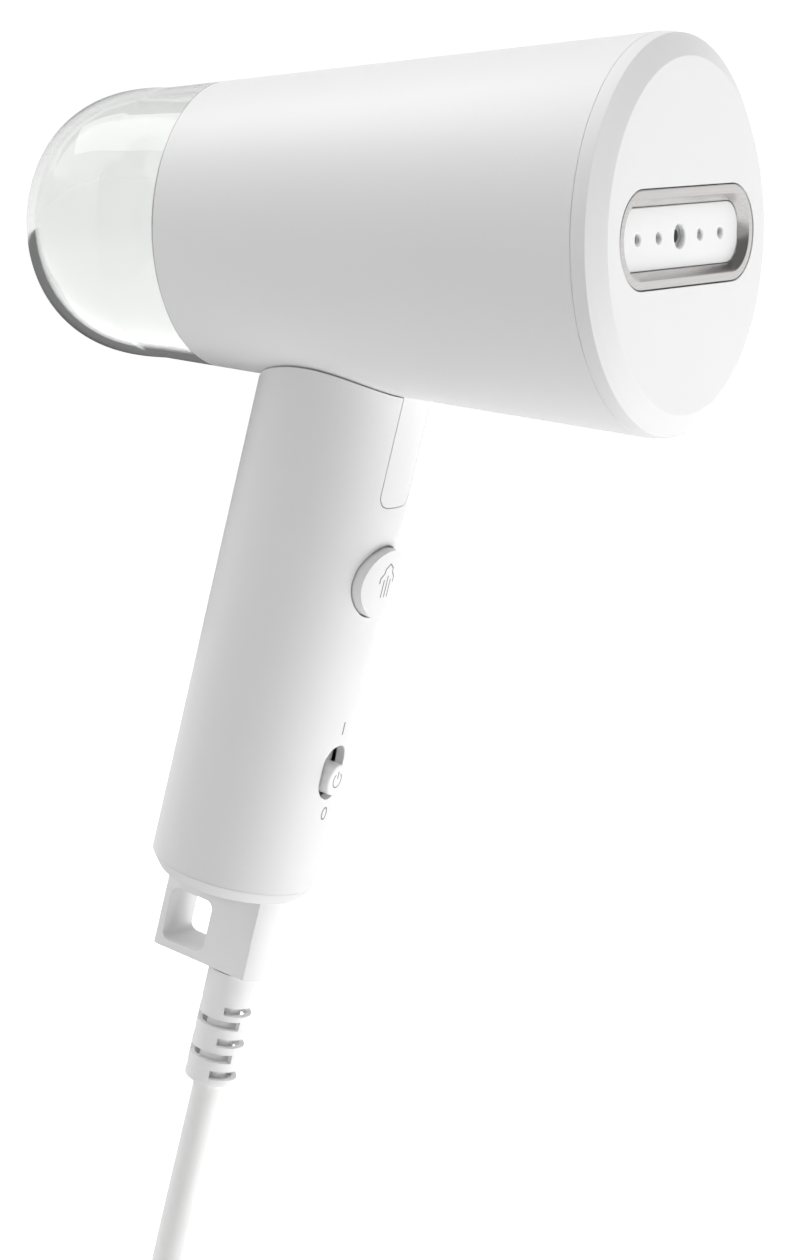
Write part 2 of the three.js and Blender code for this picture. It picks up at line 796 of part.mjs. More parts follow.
// A plate behind the slot in the handle, with the round knob that stands in the slot.
function powerSlider() {
  const plate = handleBlock([13.7, 15.2], [-5, 5], [108.5, 131]);
  const knob = forwardTurned(
    [
      [14.5, 0],
      [14.5, KNOB_RADIUS],
      [19.9, KNOB_RADIUS],
      [20.4, KNOB_RADIUS - 0.6],
      [20.4, 0],
    ],
    SMALL,
  );
  return join(plate, knob.translate(0, 0, -KNOB_DROP));
}

function slideSwitch() {
  return join(
    handleBlock([3.3, 10], [-5, 5], [112.5, 127.5]),
    handleBlock([9, 13.2], [-1.2, 1.2], [120, 123]),
  );
}

function controlBoard() {
  return join(
    handleBlock([-6, -4.4], [-12, 12], [64, 134]),
    handleBlock([-13.5, -5.9], [-8, 4], [68, 82]),
    handleBlock([-12.5, -5.9], [-7, 7], [88, 100]),
    handleBlock([-11, -5.9], [-9, 9], [116, 128]),
  );
}

function endCap() {
  const cup = handleTurned([
    [141, HANDLE_RADIUS - HANDLE_WALL - GAP],
    [HANDLE_END + GAP / 2, HANDLE_RADIUS - HANDLE_WALL - GAP],
    [HANDLE_END + GAP / 2, HANDLE_RADIUS],
    [CAP_END, CAP_RADIUS],
    [CAP_END, 0],
    [CAP_END - 2, 0],
    [CAP_END - 2, CAP_RADIUS - 2],
    [141, CAP_RADIUS - 2],
    [141, HANDLE_RADIUS - HANDLE_WALL - GAP],
  ]);
  const cable = handleTurned(rod(145, 155, 4.5), SMALL).translate(SLEEVE_FORWARD, 0, 0);
  const screwHoles = SCREW_PLACES.map(([, y]) =>
    handleTurned(rod(145, 155, 1.7), TINY).translate(SCREW_FORWARD, y, 0),
  );
  return cut(cup, cable, ...screwHoles);
}

// The block below the end cap: an eye to hang the steamer by, and the lead's way out.
function hangingLoop() {
  const [top, bottom] = LOOP_DROP;
  const radius = (LOOP_HALF ** 2 + LOOP_BULGE ** 2) / (2 * LOOP_BULGE);
  const centre = LOOP_FRONT + LOOP_BULGE - radius;
  const sweep = Math.asin(LOOP_HALF / radius);
  const plan = new THREE.Shape();
  plan.moveTo(LOOP_BACK, LOOP_HALF);
  plan.lineTo(LOOP_BACK, -LOOP_HALF);
  plan.absarc(centre, 0, radius, -sweep, sweep);
  const options = { depth: bottom - top, bevelEnabled: false, curveSegments: 10 };
  const body = new THREE.ExtrudeGeometry(plan, options).translate(0, 0, -bottom);
  const { back, front, top: high, bottom: low, corner } = LOOP_HOLE;
  const eye = sidePrism(roundedRectangle(back, front, -low, -high, corner), LOOP_HALF + 2, 4);
  const bore = handleTurned(rod(top - 1, bottom + 1, 4.5), SMALL);
  return cut(body, eye, bore.translate(SLEEVE_FORWARD, 0, 0));
}

// A sleeve that lets the lead bend: slots cut it in turn from the front right and the back left.
function strainRelief() {
  const [start, end] = SLEEVE_DROP;
  const sleeve = handleTurned(
    [
      [145.5, 0],
      [145.5, 7],
      [147.5, 7],
      [147.5, 4.2],
      [start, 4.2],
      [start, SLEEVE_RADIUS],
      [end - 0.8, SLEEVE_RADIUS],
      [end, SLEEVE_RADIUS - 0.8],
      [end, 0],
    ],
    SMALL,
  );
  const slots = SLEEVE_SLOTS.map((drop, i) => {
    const reach = i % 2 ? [-9, -3.6] : [3.6, 9];
    const half = SLEEVE_SLOT_HEIGHT / 2;
    return handleBlock(reach, [-9, 9], [drop - half, drop + half]);
  });
  return cut(sleeve, ...slots).translate(SLEEVE_FORWARD, 0, 0);
}

function innerLead() {
  return handleTurned(rod(130, 145.1, CORD_RADIUS - 0.2), 12).translate(SLEEVE_FORWARD, 0, 0);
}

function cordClamp() {
  const clamp = handleBlock([-1.2, 11.5], [-9, 9], [132.5, 138]);
  const bore = handleTurned(rod(130, 140, CORD_RADIUS + 0.1), SMALL);
  return cut(clamp, bore.translate(SLEEVE_FORWARD, 0, 0));
}

function endCapScrew(y) {
  const outline = [
    [144.5, 0],
    [144.5, 2.8],
    [146.3, 2.8],
    [146.3, 1.4],
    [151.4, 1.4],
    [151.4, 0],
  ];
  return handleTurned(outline, TINY).translate(SCREW_FORWARD, y, 0);
}

// ---------- the lead and the plug ----------
function cordCoil() {
  const low = FLOOR_Z;
  const [half, high] = [COIL_HALF_WIDTH, FLOOR_Z + COIL_HEIGHT];
  const middle = (low + high) / 2;
  const outline = closedRing([
    [low, COIL_RADIUS - half + 3.5],
    [low, COIL_RADIUS + half - 3.5],
    [middle, COIL_RADIUS + half],
    [high, COIL_RADIUS + half - 3.5],
    [high, COIL_RADIUS - half + 3.5],
    [middle, COIL_RADIUS - half],
  ]);
  return turned(outline, 40).rotateX(Math.PI / 2).translate(...COIL_CENTRE, 0);
}

// The plug's own frame: x along the lead, from the tail's start to the pins' tips.
const plug = new THREE.Group();
plug.position.set(...PLUG_START);
plug.rotation.set(0, -PLUG_TILT, PLUG_HEADING, 'ZYX');
steamer.add(plug);

function plugBody() {
  const collar = PLUG_LENGTH - PLUG_COLLAR_LENGTH;
  const outline = [
    [0, 0],
    [0, 4.6],
    [16, 6.4],
    [18, 11],
    [26, 14.5],
    [collar, 16.8],
    [collar + 1.5, PLUG_COLLAR_RADIUS],
    [PLUG_LENGTH, PLUG_COLLAR_RADIUS],
    [PLUG_LENGTH, 0],
  ];
  const slots = [-EARTH_SLOT, EARTH_SLOT].map((middle) =>
    block([collar + 4, PLUG_LENGTH + 1], [-4, 4], [middle - 3.5, middle + 3.5]),
  );
  const earthHole = forwardTurned(rod(PLUG_LENGTH - 15, PLUG_LENGTH + 1, 2.6), TINY);
  const pinHoles = [-PIN_SPACING / 2, PIN_SPACING / 2].map((y) =>
    forwardTurned(rod(PLUG_LENGTH - 6, PLUG_LENGTH + 1, 2.7), TINY + 4).translate(0, y, 0),
  );
  return cut(forwardTurned(outline, 32), ...slots, ...pinHoles, earthHole.translate(0, 0, 9));
}

function plugPin(side) {
  const tip = PLUG_LENGTH + PIN_LENGTH;
  const outline = [
    [PLUG_LENGTH - 5.5, 0],
    [PLUG_LENGTH - 5.5, 2.4],
    [tip - 1.5, 2.4],
    [tip, 1.2],
    [tip, 0],
  ];
  return forwardTurned(outline, TINY + 4).translate(0, (side * PIN_SPACING) / 2, 0);
}

function earthContact(side) {
  const start = PLUG_LENGTH - PLUG_COLLAR_LENGTH + 4.4;
  return block([start, PLUG_LENGTH - 0.6], [-2.8, 2.8], [side * 17.1 - 0.35, side * 17.1 + 0.35]);
}

// ---------- the assembly ----------
add(head, 'front_cover', frontCover(), WHITE);
add(head, 'steam_bezel', steamBezel(), BRUSHED);
add(head, 'steam_plate', steamPlate(), WHITE);
add(head, 'plate_gasket', plateGasket(), SILICONE);
add(head, 'head_shell', headShell(), WHITE);
add(head, 'boiler_lid', boilerLid(), ALUMINIUM);
add(head, 'boiler_body', boilerBody(), ALUMINIUM);
add(head, 'heating_element', heatingElement(), STEEL);
add(head, 'insulation_sleeve', insulationSleeve(), STEEL);
add(head, 'thermostat', thermostat(), STEEL);
add(head, 'thermal_fuse', thermalFuse(), SOFT_WHITE);
add(head, 'feed_tube', waterPipe(BOILER_END, PUMP_START - 5), SILICONE);
add(head, 'pump_body', pumpBody(), BLACK_PLASTIC);
add(head, 'pump_bracket', pumpBracket(), GREY_PLASTIC);
add(head, 'suction_tube', waterPipe(PUMP_END + 4, BULKHEAD_DEPTH - 8), SILICONE);
add(head, 'tank_socket', tankSocket(), GREY_PLASTIC);
add(head, 'socket_seal', socketSeal(), SILICONE);

add(head, 'tank_shell', tankShell(), CLEAR);
add(head, 'tank_base', tankBase(), CLEAR);
add(head, 'outlet_valve', outletValve(), SILICONE);
add(head, 'filler_stopper', fillerStopper(), SILICONE);

add(handle, 'handle_shell', handleShell(), WHITE);
add(handle, 'handle_top_cap', handleTopCap(), WHITE);
add(handle, 'hinge_pin', hingePin(), STEEL);
add(handle, 'detent_leaf', detentLeaf(), STEEL);
add(handle, 'inner_frame', innerFrame(), GREY_PLASTIC);
add(handle, 'trigger_button', triggerButton(), WHITE);
add(handle, 'trigger_spring', triggerSpring(), STEEL);
add(handle, 'microswitch', microswitch(), BLACK_PLASTIC);
add(handle, 'power_slider', powerSlider(), SOFT_WHITE);
add(handle, 'slide_switch', slideSwitch(), BLACK_PLASTIC);
add(handle, 'control_board', controlBoard(), BOARD_GREEN);
add(handle, 'end_cap', endCap(), WHITE);
add(handle, 'hanging_loop', hangingLoop(), SOFT_WHITE);
add(handle, 'strain_relief', strainRelief(), SOFT_WHITE);
add(handle, 'inner_lead', innerLead(), SOFT_WHITE);
add(handle, 'cord_clamp', cordClamp(), GREY_PLASTIC);
for (const [side, y] of SCREW_PLACES) {
  add(handle, `end_cap_screw_${side}`, endCapScrew(y), STEEL);
}

add(steamer, 'cord_lead', bar(LEAD_ROUTE, CORD_RADIUS, { steps: 11 }), SOFT_WHITE);
add(steamer, 'cord_coil', cordCoil(), SOFT_WHITE);
add(steamer, 'cord_tail', bar(TAIL_ROUTE, CORD_RADIUS, { steps: 2 }), SOFT_WHITE);
add(plug, 'plug_body', plugBody(), SOFT_WHITE);
add(plug, 'plug_pin_right', plugPin(-1), BRASS);
add(plug, 'plug_pin_left', plugPin(1), BRASS);
add(plug, 'earth_contact_lower', earthContact(-1), BRASS);
add(plug, 'earth_contact_upper', earthContact(1), BRASS);

export default steamer;
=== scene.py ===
import json
import math

import bmesh
import bpy
from mathutils import Matrix, Vector


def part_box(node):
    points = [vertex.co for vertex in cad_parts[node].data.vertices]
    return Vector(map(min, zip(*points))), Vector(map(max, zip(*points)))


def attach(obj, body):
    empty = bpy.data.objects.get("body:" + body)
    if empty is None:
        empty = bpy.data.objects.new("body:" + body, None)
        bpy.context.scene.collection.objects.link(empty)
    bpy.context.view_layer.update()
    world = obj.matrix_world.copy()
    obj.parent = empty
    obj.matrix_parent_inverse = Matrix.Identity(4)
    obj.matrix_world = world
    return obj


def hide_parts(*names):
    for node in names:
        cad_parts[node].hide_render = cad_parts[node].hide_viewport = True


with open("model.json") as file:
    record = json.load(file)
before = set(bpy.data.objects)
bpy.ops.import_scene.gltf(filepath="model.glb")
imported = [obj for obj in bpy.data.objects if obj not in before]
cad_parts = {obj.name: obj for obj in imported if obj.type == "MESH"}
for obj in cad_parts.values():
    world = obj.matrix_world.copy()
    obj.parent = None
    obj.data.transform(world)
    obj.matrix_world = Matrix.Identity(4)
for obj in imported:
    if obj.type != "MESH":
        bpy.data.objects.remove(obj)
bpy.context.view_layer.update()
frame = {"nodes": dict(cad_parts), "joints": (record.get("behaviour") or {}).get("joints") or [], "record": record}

# The looks of a foldable garment steamer, built round its CAD frame. Blender works in metres,
# and each piece is drawn in millimetres in the frame of the sub-assembly it belongs to.
MM = 0.001

# ---------- the frames of the sub-assemblies ----------
joints = {joint["name"]: joint for joint in frame["joints"]}
press = Vector(joints["trigger_press"]["axis"])
LEAN = math.atan2(press.z, -press.x)
face_low, face_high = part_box("front_cover")
FACE_X = face_high.x
AXIS_Z = (face_low.z + face_high.z) / 2
GRIP_DROP = 0.1  # from the head's axis to the frame's origin, along the handle

to_mm = Matrix.Scale(MM, 4)
# Head: x is minus the depth behind the steam face, z is measured from the head's axis.
HEAD = Matrix.Translation((FACE_X, 0, AXIS_Z)) @ to_mm
# Handle: x is forward of the handle's axis, z is minus the drop below the head's axis.
HANDLE_TOP = Vector((GRIP_DROP * math.sin(LEAN), 0, GRIP_DROP * math.cos(LEAN)))
HANDLE = Matrix.Translation(HANDLE_TOP) @ Matrix.Rotation(LEAN, 4, "Y") @ to_mm
# Plug: x runs along the lead towards the pins.
PLUG_HEADING = math.atan2(0.766, 0.643)
PLUG_TILT = math.radians(18.8)
PLUG_START = Vector((0.06385, -0.03435, -0.18793))
PLUG = (
    Matrix.Translation(PLUG_START)
    @ Matrix.Rotation(PLUG_HEADING, 4, "Z")
    @ Matrix.Rotation(-PLUG_TILT, 4, "Y")
    @ to_mm
)
HANDLE_TO_HEAD = HEAD.inverted() @ HANDLE
HEAD_TO_HANDLE = HANDLE.inverted() @ HEAD
FLOOR_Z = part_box("cord_coil")[0].z

# ---------- driving dimensions, in millimetres ----------
# The head, by depth behind the steam face.
FACE_RADIUS = 37.4
COVER_WALL = 2.5
COVER_SKIRT = 12  # how far the front cover reaches into the head
BEVEL_DEPTH = 2.8
BEVEL_RADIUS = 42.2
BAND_DEPTH = 5.95
BODY_RADIUS = 42.5
BODY_TAPER = math.radians(5.87)
BODY_WALL = 2.2
TANK_DEPTH = 112.5
DOME_DEPTH = 127.1
TANK_END = 157.9
DOME_POWER = 2.57
TANK_WALL = 1.7
TANK_SEAM = 0.02  # half the joint line between the head and the tank
BASE_DEPTH = 113.2  # the tank's front wall
BASE_THICKNESS = 1.3
BULKHEAD_DEPTH = 106
BULKHEAD_THICKNESS = 2.5
SOCKET_DEPTH = 98  # the front of the cup that takes the tank's neck
NECK_RADIUS = 7
FILLER_HEIGHT = 17
# The steam outlet.
BEZEL_LENGTH = 64.2
BEZEL_HEIGHT = 21
BEZEL_LIP = 2.1
BEZEL_SLOPE = 1.7
BEZEL_DEPTH = 5
PLATE_DEPTH = 2.05
PLATE_SQUARENESS = 0.2
PLATE_BACK = 6.6
HOLE_PITCH = 9.83
HOLE_RADIUS = 1.22
MIDDLE_HOLE_RADIUS = 2.55
HOLE_RIM = 0.25
HOLES = (-2, -1, 0, 1, 2)
# The grey metal rings down the steam holes: the ducts' mouths, and painted shade that darkens the holes.
NOZZLE_DEPTH = 1.1  # below the plate's face
NOZZLE_LENGTH = 1.5
# The handle, by drop below the head's axis.
HANDLE_RADIUS = 19
HANDLE_WALL = 2
HANDLE_END = 148.7
CAP_START = 141
CAP_END = 151.9
CAP_RADIUS = 16.7
GAP = 0.3
SADDLE_GAP = 0.22  # between the handle's top and the head, at the front and back
SADDLE_EXTRA = 0.2  # what the gap widens by at the sides
PIN_FORWARD = -14.5
PIN_DROP = 43.3
PIN_RADIUS = 1.5
KNUCKLE_HALF = 5.9
KNUCKLE_RADIUS = 3.9
TONGUE_HALF = 6.2
TONGUE_END = 57.7
TONGUE_CORNER = 3
TONGUE_THICKNESS = 3.4
TONGUE_SEAM = 0.16
TOP_CAP_END = 61
# The controls.
TRIGGER_DROP = 75
TRIGGER_RADIUS = 8
TRIGGER_FACE = 21  # the radius of its crown about the handle's axis
TRIGGER_HOLE = 8.4
SLOT_TOP = 113.6
SLOT_BOTTOM = 126.4
SLOT_HALF = 4.4
KNOB_DROP = 121.35
KNOB_RADIUS = 3.65
KNOB_FACE = 20.4
# The lead's outlet.
LOOP_TOP = 152.2
LOOP_BOTTOM = 171.9
LOOP_BACK = -12.6
LOOP_FRONT = 12
LOOP_BULGE = 2.3
LOOP_HALF = 6.2
EYE_BACK = -10.8
EYE_FRONT = 0.3
EYE_TOP = 157.3
EYE_BOTTOM = 169.9
LEAD_BORE = 4.5
SLEEVE_FORWARD = 6.2
SLEEVE_RADIUS = 5.95
SLEEVE_TOP = 172.2
SLEEVE_END = 199.5
SLEEVE_SLOTS = (180.8, 184.2, 188.5, 192.3, 196.5)  # front and back, or both sides, in turn
SLEEVE_HOLLOW = 4.7
SLEEVE_BORE = 3.65
CORD_RADIUS = 3.55
# The plug.
PLUG_LENGTH = 54
PLUG_COLLAR = 37
PLUG_RADIUS = 18.5
PLUG_PIN_RADIUS = 2.4
PLUG_PIN_END = 72.4
PLUG_PIN_SIDE = 9.5
EARTH_SIDE = 20.1

FINE = 192  # segments of a large turned piece
MEDIUM = 96
SMALL = 48


# ---------- mesh tools ----------
def soften(corners, closed=False, steps=5):
    """An outline whose corners (a, b, r) are rounded with radius r; (a, b) stays sharp."""
    points = []
    for i, corner in enumerate(corners):
        here = Vector(corner[:2])
        radius = corner[2] if len(corner) > 2 else 0
        if not radius:
            points.append(here)
            continue
        back = (Vector(corners[i - 1][:2]) - here).normalized()
        ahead = (Vector(corners[(i + 1) % len(corners)][:2]) - here).normalized()
        half = back.angle(ahead) / 2
        centre = here + (back + ahead).normalized() * (radius / math.sin(half))
        first = here + back * (radius / math.tan(half)) - centre
        last = here + ahead * (radius / math.tan(half)) - centre
        turn = first.angle_signed(last)
        for step in range(steps + 1):
            points.append(centre + Matrix.Rotation(-turn * step / steps, 2) @ first)
    if closed:
        points.append(points[0])
    return points


def back(a, r, c, s):
    return (-a, r * c, r * s)


def down(a, r, c, s):
    return (r * c, r * s, -a)


def forward(a, r, c, s):
    return (a, r * c, r * s)


def across(a, r, c, s):
    return (r * c, a, r * s)


def new_object(name, data):
    made = bpy.data.objects.new(name, data)
    bpy.context.scene.collection.objects.link(made)
    return made


def new_mesh(name, verts, faces):
    mesh = bpy.data.meshes.new(name)
    mesh.from_pydata(verts, [], faces)
    mesh.update()
    return new_object(name, mesh)


def tidy_normals(piece):
    bm = bmesh.new()
    bm.from_mesh(piece.data)
    bmesh.ops.remove_doubles(bm, verts=bm.verts, dist=1e-5)
    bmesh.ops.recalc_face_normals(bm, faces=bm.faces)
    bm.to_mesh(piece.data)
    bm.free()
    return piece


def turned(name, way, outline, segments=FINE):
    """A solid of revolution. The outline closes on itself, or starts and ends on the axis."""
    verts = []
    rings = []
    for point in outline:
        along, radius = point[0], point[1]
        if radius < 1e-6:
            rings.append([len(verts)] * segments)
            verts.append(way(along, 0, 1, 0))
            continue
        rings.append(list(range(len(verts), len(verts) + segments)))
        for i in range(segments):
            angle = math.tau * i / segments
            verts.append(way(along, radius, math.cos(angle), math.sin(angle)))
    faces = []
    for one, two in zip(rings, rings[1:]):
        for i in range(segments):
            j = (i + 1) % segments
            corner = [one[i], one[j], two[j], two[i]]
            face = [v for k, v in enumerate(corner) if v != corner[k - 1]]
            if len(face) > 2:
                faces.append(face)
    return tidy_normals(new_mesh(name, verts, faces))


def rod(start, end, radius):
    return [(start, 0), (start, radius), (end, radius), (end, 0)]


def tube(start, end, outer, inner):
    return [(start, inner), (start, outer), (end, outer), (end, inner), (start, inner)]


def skin(name, rings, closed=False):
    """A solid through rings of equally many points; with closed the last joins the first."""
    count = len(rings[0])
    verts = [point for ring in rings for point in ring]
    faces = []
    last = len(rings) if closed else len(rings) - 1
    for k in range(last):
        low, high = k * count, ((k + 1) % len(rings)) * count
        for i in range(count):
            j = (i + 1) % count
            faces.append((low + i, low + j, high + j, high + i))
    if not closed:
        faces.append(tuple(range(count)))
        faces.append(tuple(range((len(rings) - 1) * count, len(rings) * count)))
    return tidy_normals(new_mesh(name, verts, faces))


def drill(way, start, end, radius, place=(0, 0, 0), segments=SMALL):
    """A rod that cuts a hole."""
    return shifted(turned("drill", way, rod(start, end, radius), segments), *place)


def inset(outline, amount):
    """A closed convex-cornered outline moved inwards by an amount."""
    moved = []
    for i, here in enumerate(outline):
        one = (here - outline[i - 1]).normalized()
        two = (outline[(i + 1) % len(outline)] - here).normalized()
        normal = Vector((-one.y - two.y, one.x + two.x)).normalized()
        moved.append(here + normal * amount / max(0.3, normal.dot(Vector((-one.y, one.x)))))
    return moved


def prism(name, plane, outline, low, high, edge=0.0):
    """An anticlockwise outline extruded between two heights, with rounded rims."""
    levels = [(low, 0), (high, 0)]
    if edge:
        quarter = [math.radians(angle) for angle in (0, 22.5, 45, 67.5, 90)]
        bottom = [(low + edge * (1 - math.sin(a)), edge * (1 - math.cos(a))) for a in quarter]
        top = [(high - edge * (1 - math.sin(a)), edge * (1 - math.cos(a))) for a in quarter]
        levels = bottom[::-1] + top
    rings = [[plane(p.x, p.y, level) for p in inset(outline, amount)] for level, amount in levels]
    return skin(name, rings)


def side_plane(x, z, level):
    return (x, level, z)


def face_plane(y, z, level):
    return (level, y, z)


def plan_plane(x, y, level):
    return (x, y, level)


def slot_outline(length, height, squareness=0.0, steps=16):
    """A slot with round ends, whose corners tighten as squareness grows from 0."""
    radius = height / 2 * (1 - squareness) - 0.001
    points = []
    for side, up, start in ((1, -1, -90), (1, 1, 0), (-1, 1, 90), (-1, -1, 180)):
        for i in range(steps + 1):
            angle = math.radians(start + 90 * i / steps)
            middle = Vector((side * (length / 2 - radius), up * (height / 2 - radius)))
            points.append(middle + Vector((math.cos(angle), math.sin(angle))) * radius)
    return points


def rectangle(left, right, low, high, radius=0.0, steps=8):
    corners = [(right, high, radius), (left, high, radius), (left, low, radius), (right, low, radius)]
    return soften(corners, steps=steps)


def settle(piece):
    """Applies a piece's modifiers to its mesh."""
    graph = bpy.context.evaluated_depsgraph_get()
    mesh = bpy.data.meshes.new_from_object(piece.evaluated_get(graph), depsgraph=graph)
    piece.modifiers.clear()
    old = piece.data
    piece.data = mesh
    bpy.data.meshes.remove(old)
    return piece


def combine(piece, operation, others):
    for other in others:
        step = piece.modifiers.new(operation, "BOOLEAN")
        step.operation = operation
        step.solver = "EXACT"
        step.object = other
    settle(piece)
    for other in others:
        bpy.data.meshes.remove(other.data)
    return piece


def cut(piece, *others):
    return combine(piece, "DIFFERENCE", others)


def join(piece, *others):
    return combine(piece, "UNION", others)


def common(piece, *others):
    return combine(piece, "INTERSECT", others)


def merged(pieces):
    """Puts separate pieces into the first one's mesh."""
    first, *rest = pieces
    for other in rest:
        bm = bmesh.new()
        bm.from_mesh(first.data)
        bm.from_mesh(other.data)
        bm.to_mesh(first.data)
        bm.free()
        bpy.data.meshes.remove(other.data)
    return first


def moved(piece, matrix):
    piece.data.transform(matrix)
    return piece


def shifted(piece, x, y, z):
    return moved(piece, Matrix.Translation((x, y, z)))


def place(piece, matrix, body, slot, replaces=(), sharp=32, material=None):
    """Turns a piece's millimetres into its place in the frame, and gives it its body and finish."""
    piece.data.transform(matrix)
    piece.data.shade_smooth()
    piece.data.set_sharp_from_angle(angle=math.radians(sharp))
    piece.data.materials.clear()
    piece.data.materials.append(material or FINISHES[slot])
    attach(piece, body)
    if replaces:
        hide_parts(*replaces)
    return piece


# ---------- materials ----------
def new_material(name):
    material = bpy.data.materials.new(name)
    material.use_nodes = True
    nodes = material.node_tree.nodes
    return material, nodes, material.node_tree.links, nodes["Principled BSDF"]


def set_inputs(node, values):
    for name, value in values.items():
        node.inputs[name].default_value = value


def grain(nodes, links, scale, low, high, detail=3.0):
    """Noise in object space, in metres, mapped to a range of values."""
    where = nodes.new("ShaderNodeTexCoord")
    noise = nodes.new("ShaderNodeTexNoise")
    set_inputs(noise, {"Scale": scale, "Detail": detail})
    span = nodes.new("ShaderNodeMapRange")
    set_inputs(span, {"To Min": low, "To Max": high})
    links.new(where.outputs["Object"], noise.inputs["Vector"])
    links.new(noise.outputs["Fac"], span.inputs["Value"])
    return span.outputs["Result"]


def tinted(nodes, links, factor, one, two):
    """A colour that wanders between two."""
    mix = nodes.new("ShaderNodeMix")
    mix.data_type = "RGBA"
    set_inputs(mix, {"A": (*one, 1), "B": (*two, 1)})
    links.new(factor, mix.inputs["Factor"])
    return mix.outputs["Result"]


def moulded(name, colour, roughness, texture=0.04, texture_scale=2600, edge=0.00022):
    """Injection-moulded plastic: a spark-eroded grain, faint flow marks and softened edges."""
    material, nodes, links, shader = new_material(name)
    flow = grain(nodes, links, 30, 0.0, 1.0)
    darker = tuple(c * 0.975 for c in colour)
    links.new(tinted(nodes, links, flow, colour, darker), shader.inputs["Base Color"])
    links.new(grain(nodes, links, 420, roughness - 0.03, roughness + 0.03), shader.inputs["Roughness"])
    bump = nodes.new("ShaderNodeBump")
    set_inputs(bump, {"Strength": texture, "Distance": 0.0001})
    links.new(grain(nodes, links, texture_scale, 0.0, 1.0, 2.0), bump.inputs["Height"])
    if edge:
        bevel = nodes.new("ShaderNodeBevel")
        bevel.samples = 4
        set_inputs(bevel, {"Radius": edge})
        links.new(bevel.outputs["Normal"], bump.inputs["Normal"])
    links.new(bump.outputs["Normal"], shader.inputs["Normal"])
    set_inputs(shader, {"IOR": 1.46})
    return material


def metal(name, colour, roughness, stretch=(1, 1, 1), scale=900, strength=0.05):
    """Metal with a brushed or cast grain; stretch draws the grain out along an axis."""
    material, nodes, links, shader = new_material(name)
    set_inputs(shader, {"Metallic": 1})
    where = nodes.new("ShaderNodeTexCoord")
    mapping = nodes.new("ShaderNodeMapping")
    set_inputs(mapping, {"Scale": stretch})
    noise = nodes.new("ShaderNodeTexNoise")
    set_inputs(noise, {"Scale": scale, "Detail": 5})
    links.new(where.outputs["Object"], mapping.inputs["Vector"])
    links.new(mapping.outputs["Vector"], noise.inputs["Vector"])
    streaks = noise.outputs["Fac"]
    darker = tuple(c * 0.82 for c in colour)
    links.new(tinted(nodes, links, streaks, colour, darker), shader.inputs["Base Color"])
    span = nodes.new("ShaderNodeMapRange")
    set_inputs(span, {"To Min": roughness - 0.07, "To Max": roughness + 0.07})
    links.new(streaks, span.inputs["Value"])
    links.new(span.outputs["Result"], shader.inputs["Roughness"])
    bump = nodes.new("ShaderNodeBump")
    set_inputs(bump, {"Strength": strength, "Distance": 0.00005})
    links.new(streaks, bump.inputs["Height"])
    links.new(bump.outputs["Normal"], shader.inputs["Normal"])
    return material


def clear_plastic():
    """The water tank: clear, faintly green-grey copolyester with a polished surface."""
    material, nodes, links, shader = new_material("clear_tank")
    cast = grain(nodes, links, 25, 0.0, 1.0)
    tint = tinted(nodes, links, cast, (0.886, 0.895, 0.886), (0.876, 0.887, 0.879))
    links.new(tint, shader.inputs["Base Color"])
    links.new(grain(nodes, links, 60, 0.015, 0.05), shader.inputs["Roughness"])
    set_inputs(shader, {"Transmission Weight": 1, "IOR": 1.45})
    return material


def circuit_board():
    """Green lacquer over copper tracks."""
    material, nodes, links, shader = new_material("board")
    tracks = grain(nodes, links, 700, 0.0, 1.0)
    lacquer = tinted(nodes, links, tracks, (0.02, 0.13, 0.05), (0.05, 0.22, 0.09))
    links.new(lacquer, shader.inputs["Base Color"])
    set_inputs(shader, {"Roughness": 0.45})
    return material


# The finishes by material slot, and the ink of the printed marks.
FINISHES = {
    "white_shell": moulded("white_shell", (0.80, 0.80, 0.80), 0.36),
    "white_handle": moulded("white_handle", (0.79, 0.79, 0.795), 0.38),
    "white_control": moulded("white_control", (0.86, 0.86, 0.86), 0.33, edge=0.00015),
    "white_plate": moulded("white_plate", (0.85, 0.85, 0.85), 0.42, edge=0.00012),
    "soft_white": moulded("soft_white", (0.86, 0.86, 0.86), 0.5, 0.08, 1800),
    "cord_white": moulded("cord_white", (0.88, 0.88, 0.875), 0.42, 0.06, 1500, edge=0),
    "silicone": moulded("silicone", (0.52, 0.55, 0.57), 0.55, 0.05),
    "grey_plastic": moulded("grey_plastic", (0.30, 0.32, 0.33), 0.5, 0.08),
    "black_plastic": moulded("black_plastic", (0.02, 0.02, 0.022), 0.45, 0.08),
    "bezel_metal": metal("bezel_metal", (0.74, 0.72, 0.71), 0.24, stretch=(1, 0.02, 1), scale=2500),
    "aluminium_cast": metal("aluminium_cast", (0.62, 0.63, 0.64), 0.5, scale=700, strength=0.2),
    "steel": metal("steel", (0.56, 0.57, 0.58), 0.3),
    "brass": metal("brass", (0.80, 0.72, 0.52), 0.22),
    "clear_tank": clear_plastic(),
    "board": circuit_board(),
}
INK = moulded("grey_print", (0.22, 0.22, 0.23), 0.5, edge=0)

# ---------- camera and stage ----------
CAMERA_PLACE = Vector((0.4915, -0.8144, 0.1393))
CAMERA_BACK = Vector((0.48863, -0.86152, 0.13796)).normalized()
camera_right = Vector((0, 0, 1)).cross(CAMERA_BACK).normalized()
camera_up = CAMERA_BACK.cross(camera_right)
camera_data = bpy.data.cameras.new("camera")
camera_data.sensor_width = 36
camera_data.lens = 123.19
camera_data.clip_start = 0.02
camera_data.clip_end = 50
camera = new_object("camera", camera_data)
turn = Matrix((camera_right, camera_up, CAMERA_BACK)).transposed().to_4x4()
camera.matrix_world = Matrix.Translation(CAMERA_PLACE) @ turn
bpy.context.scene.camera = camera


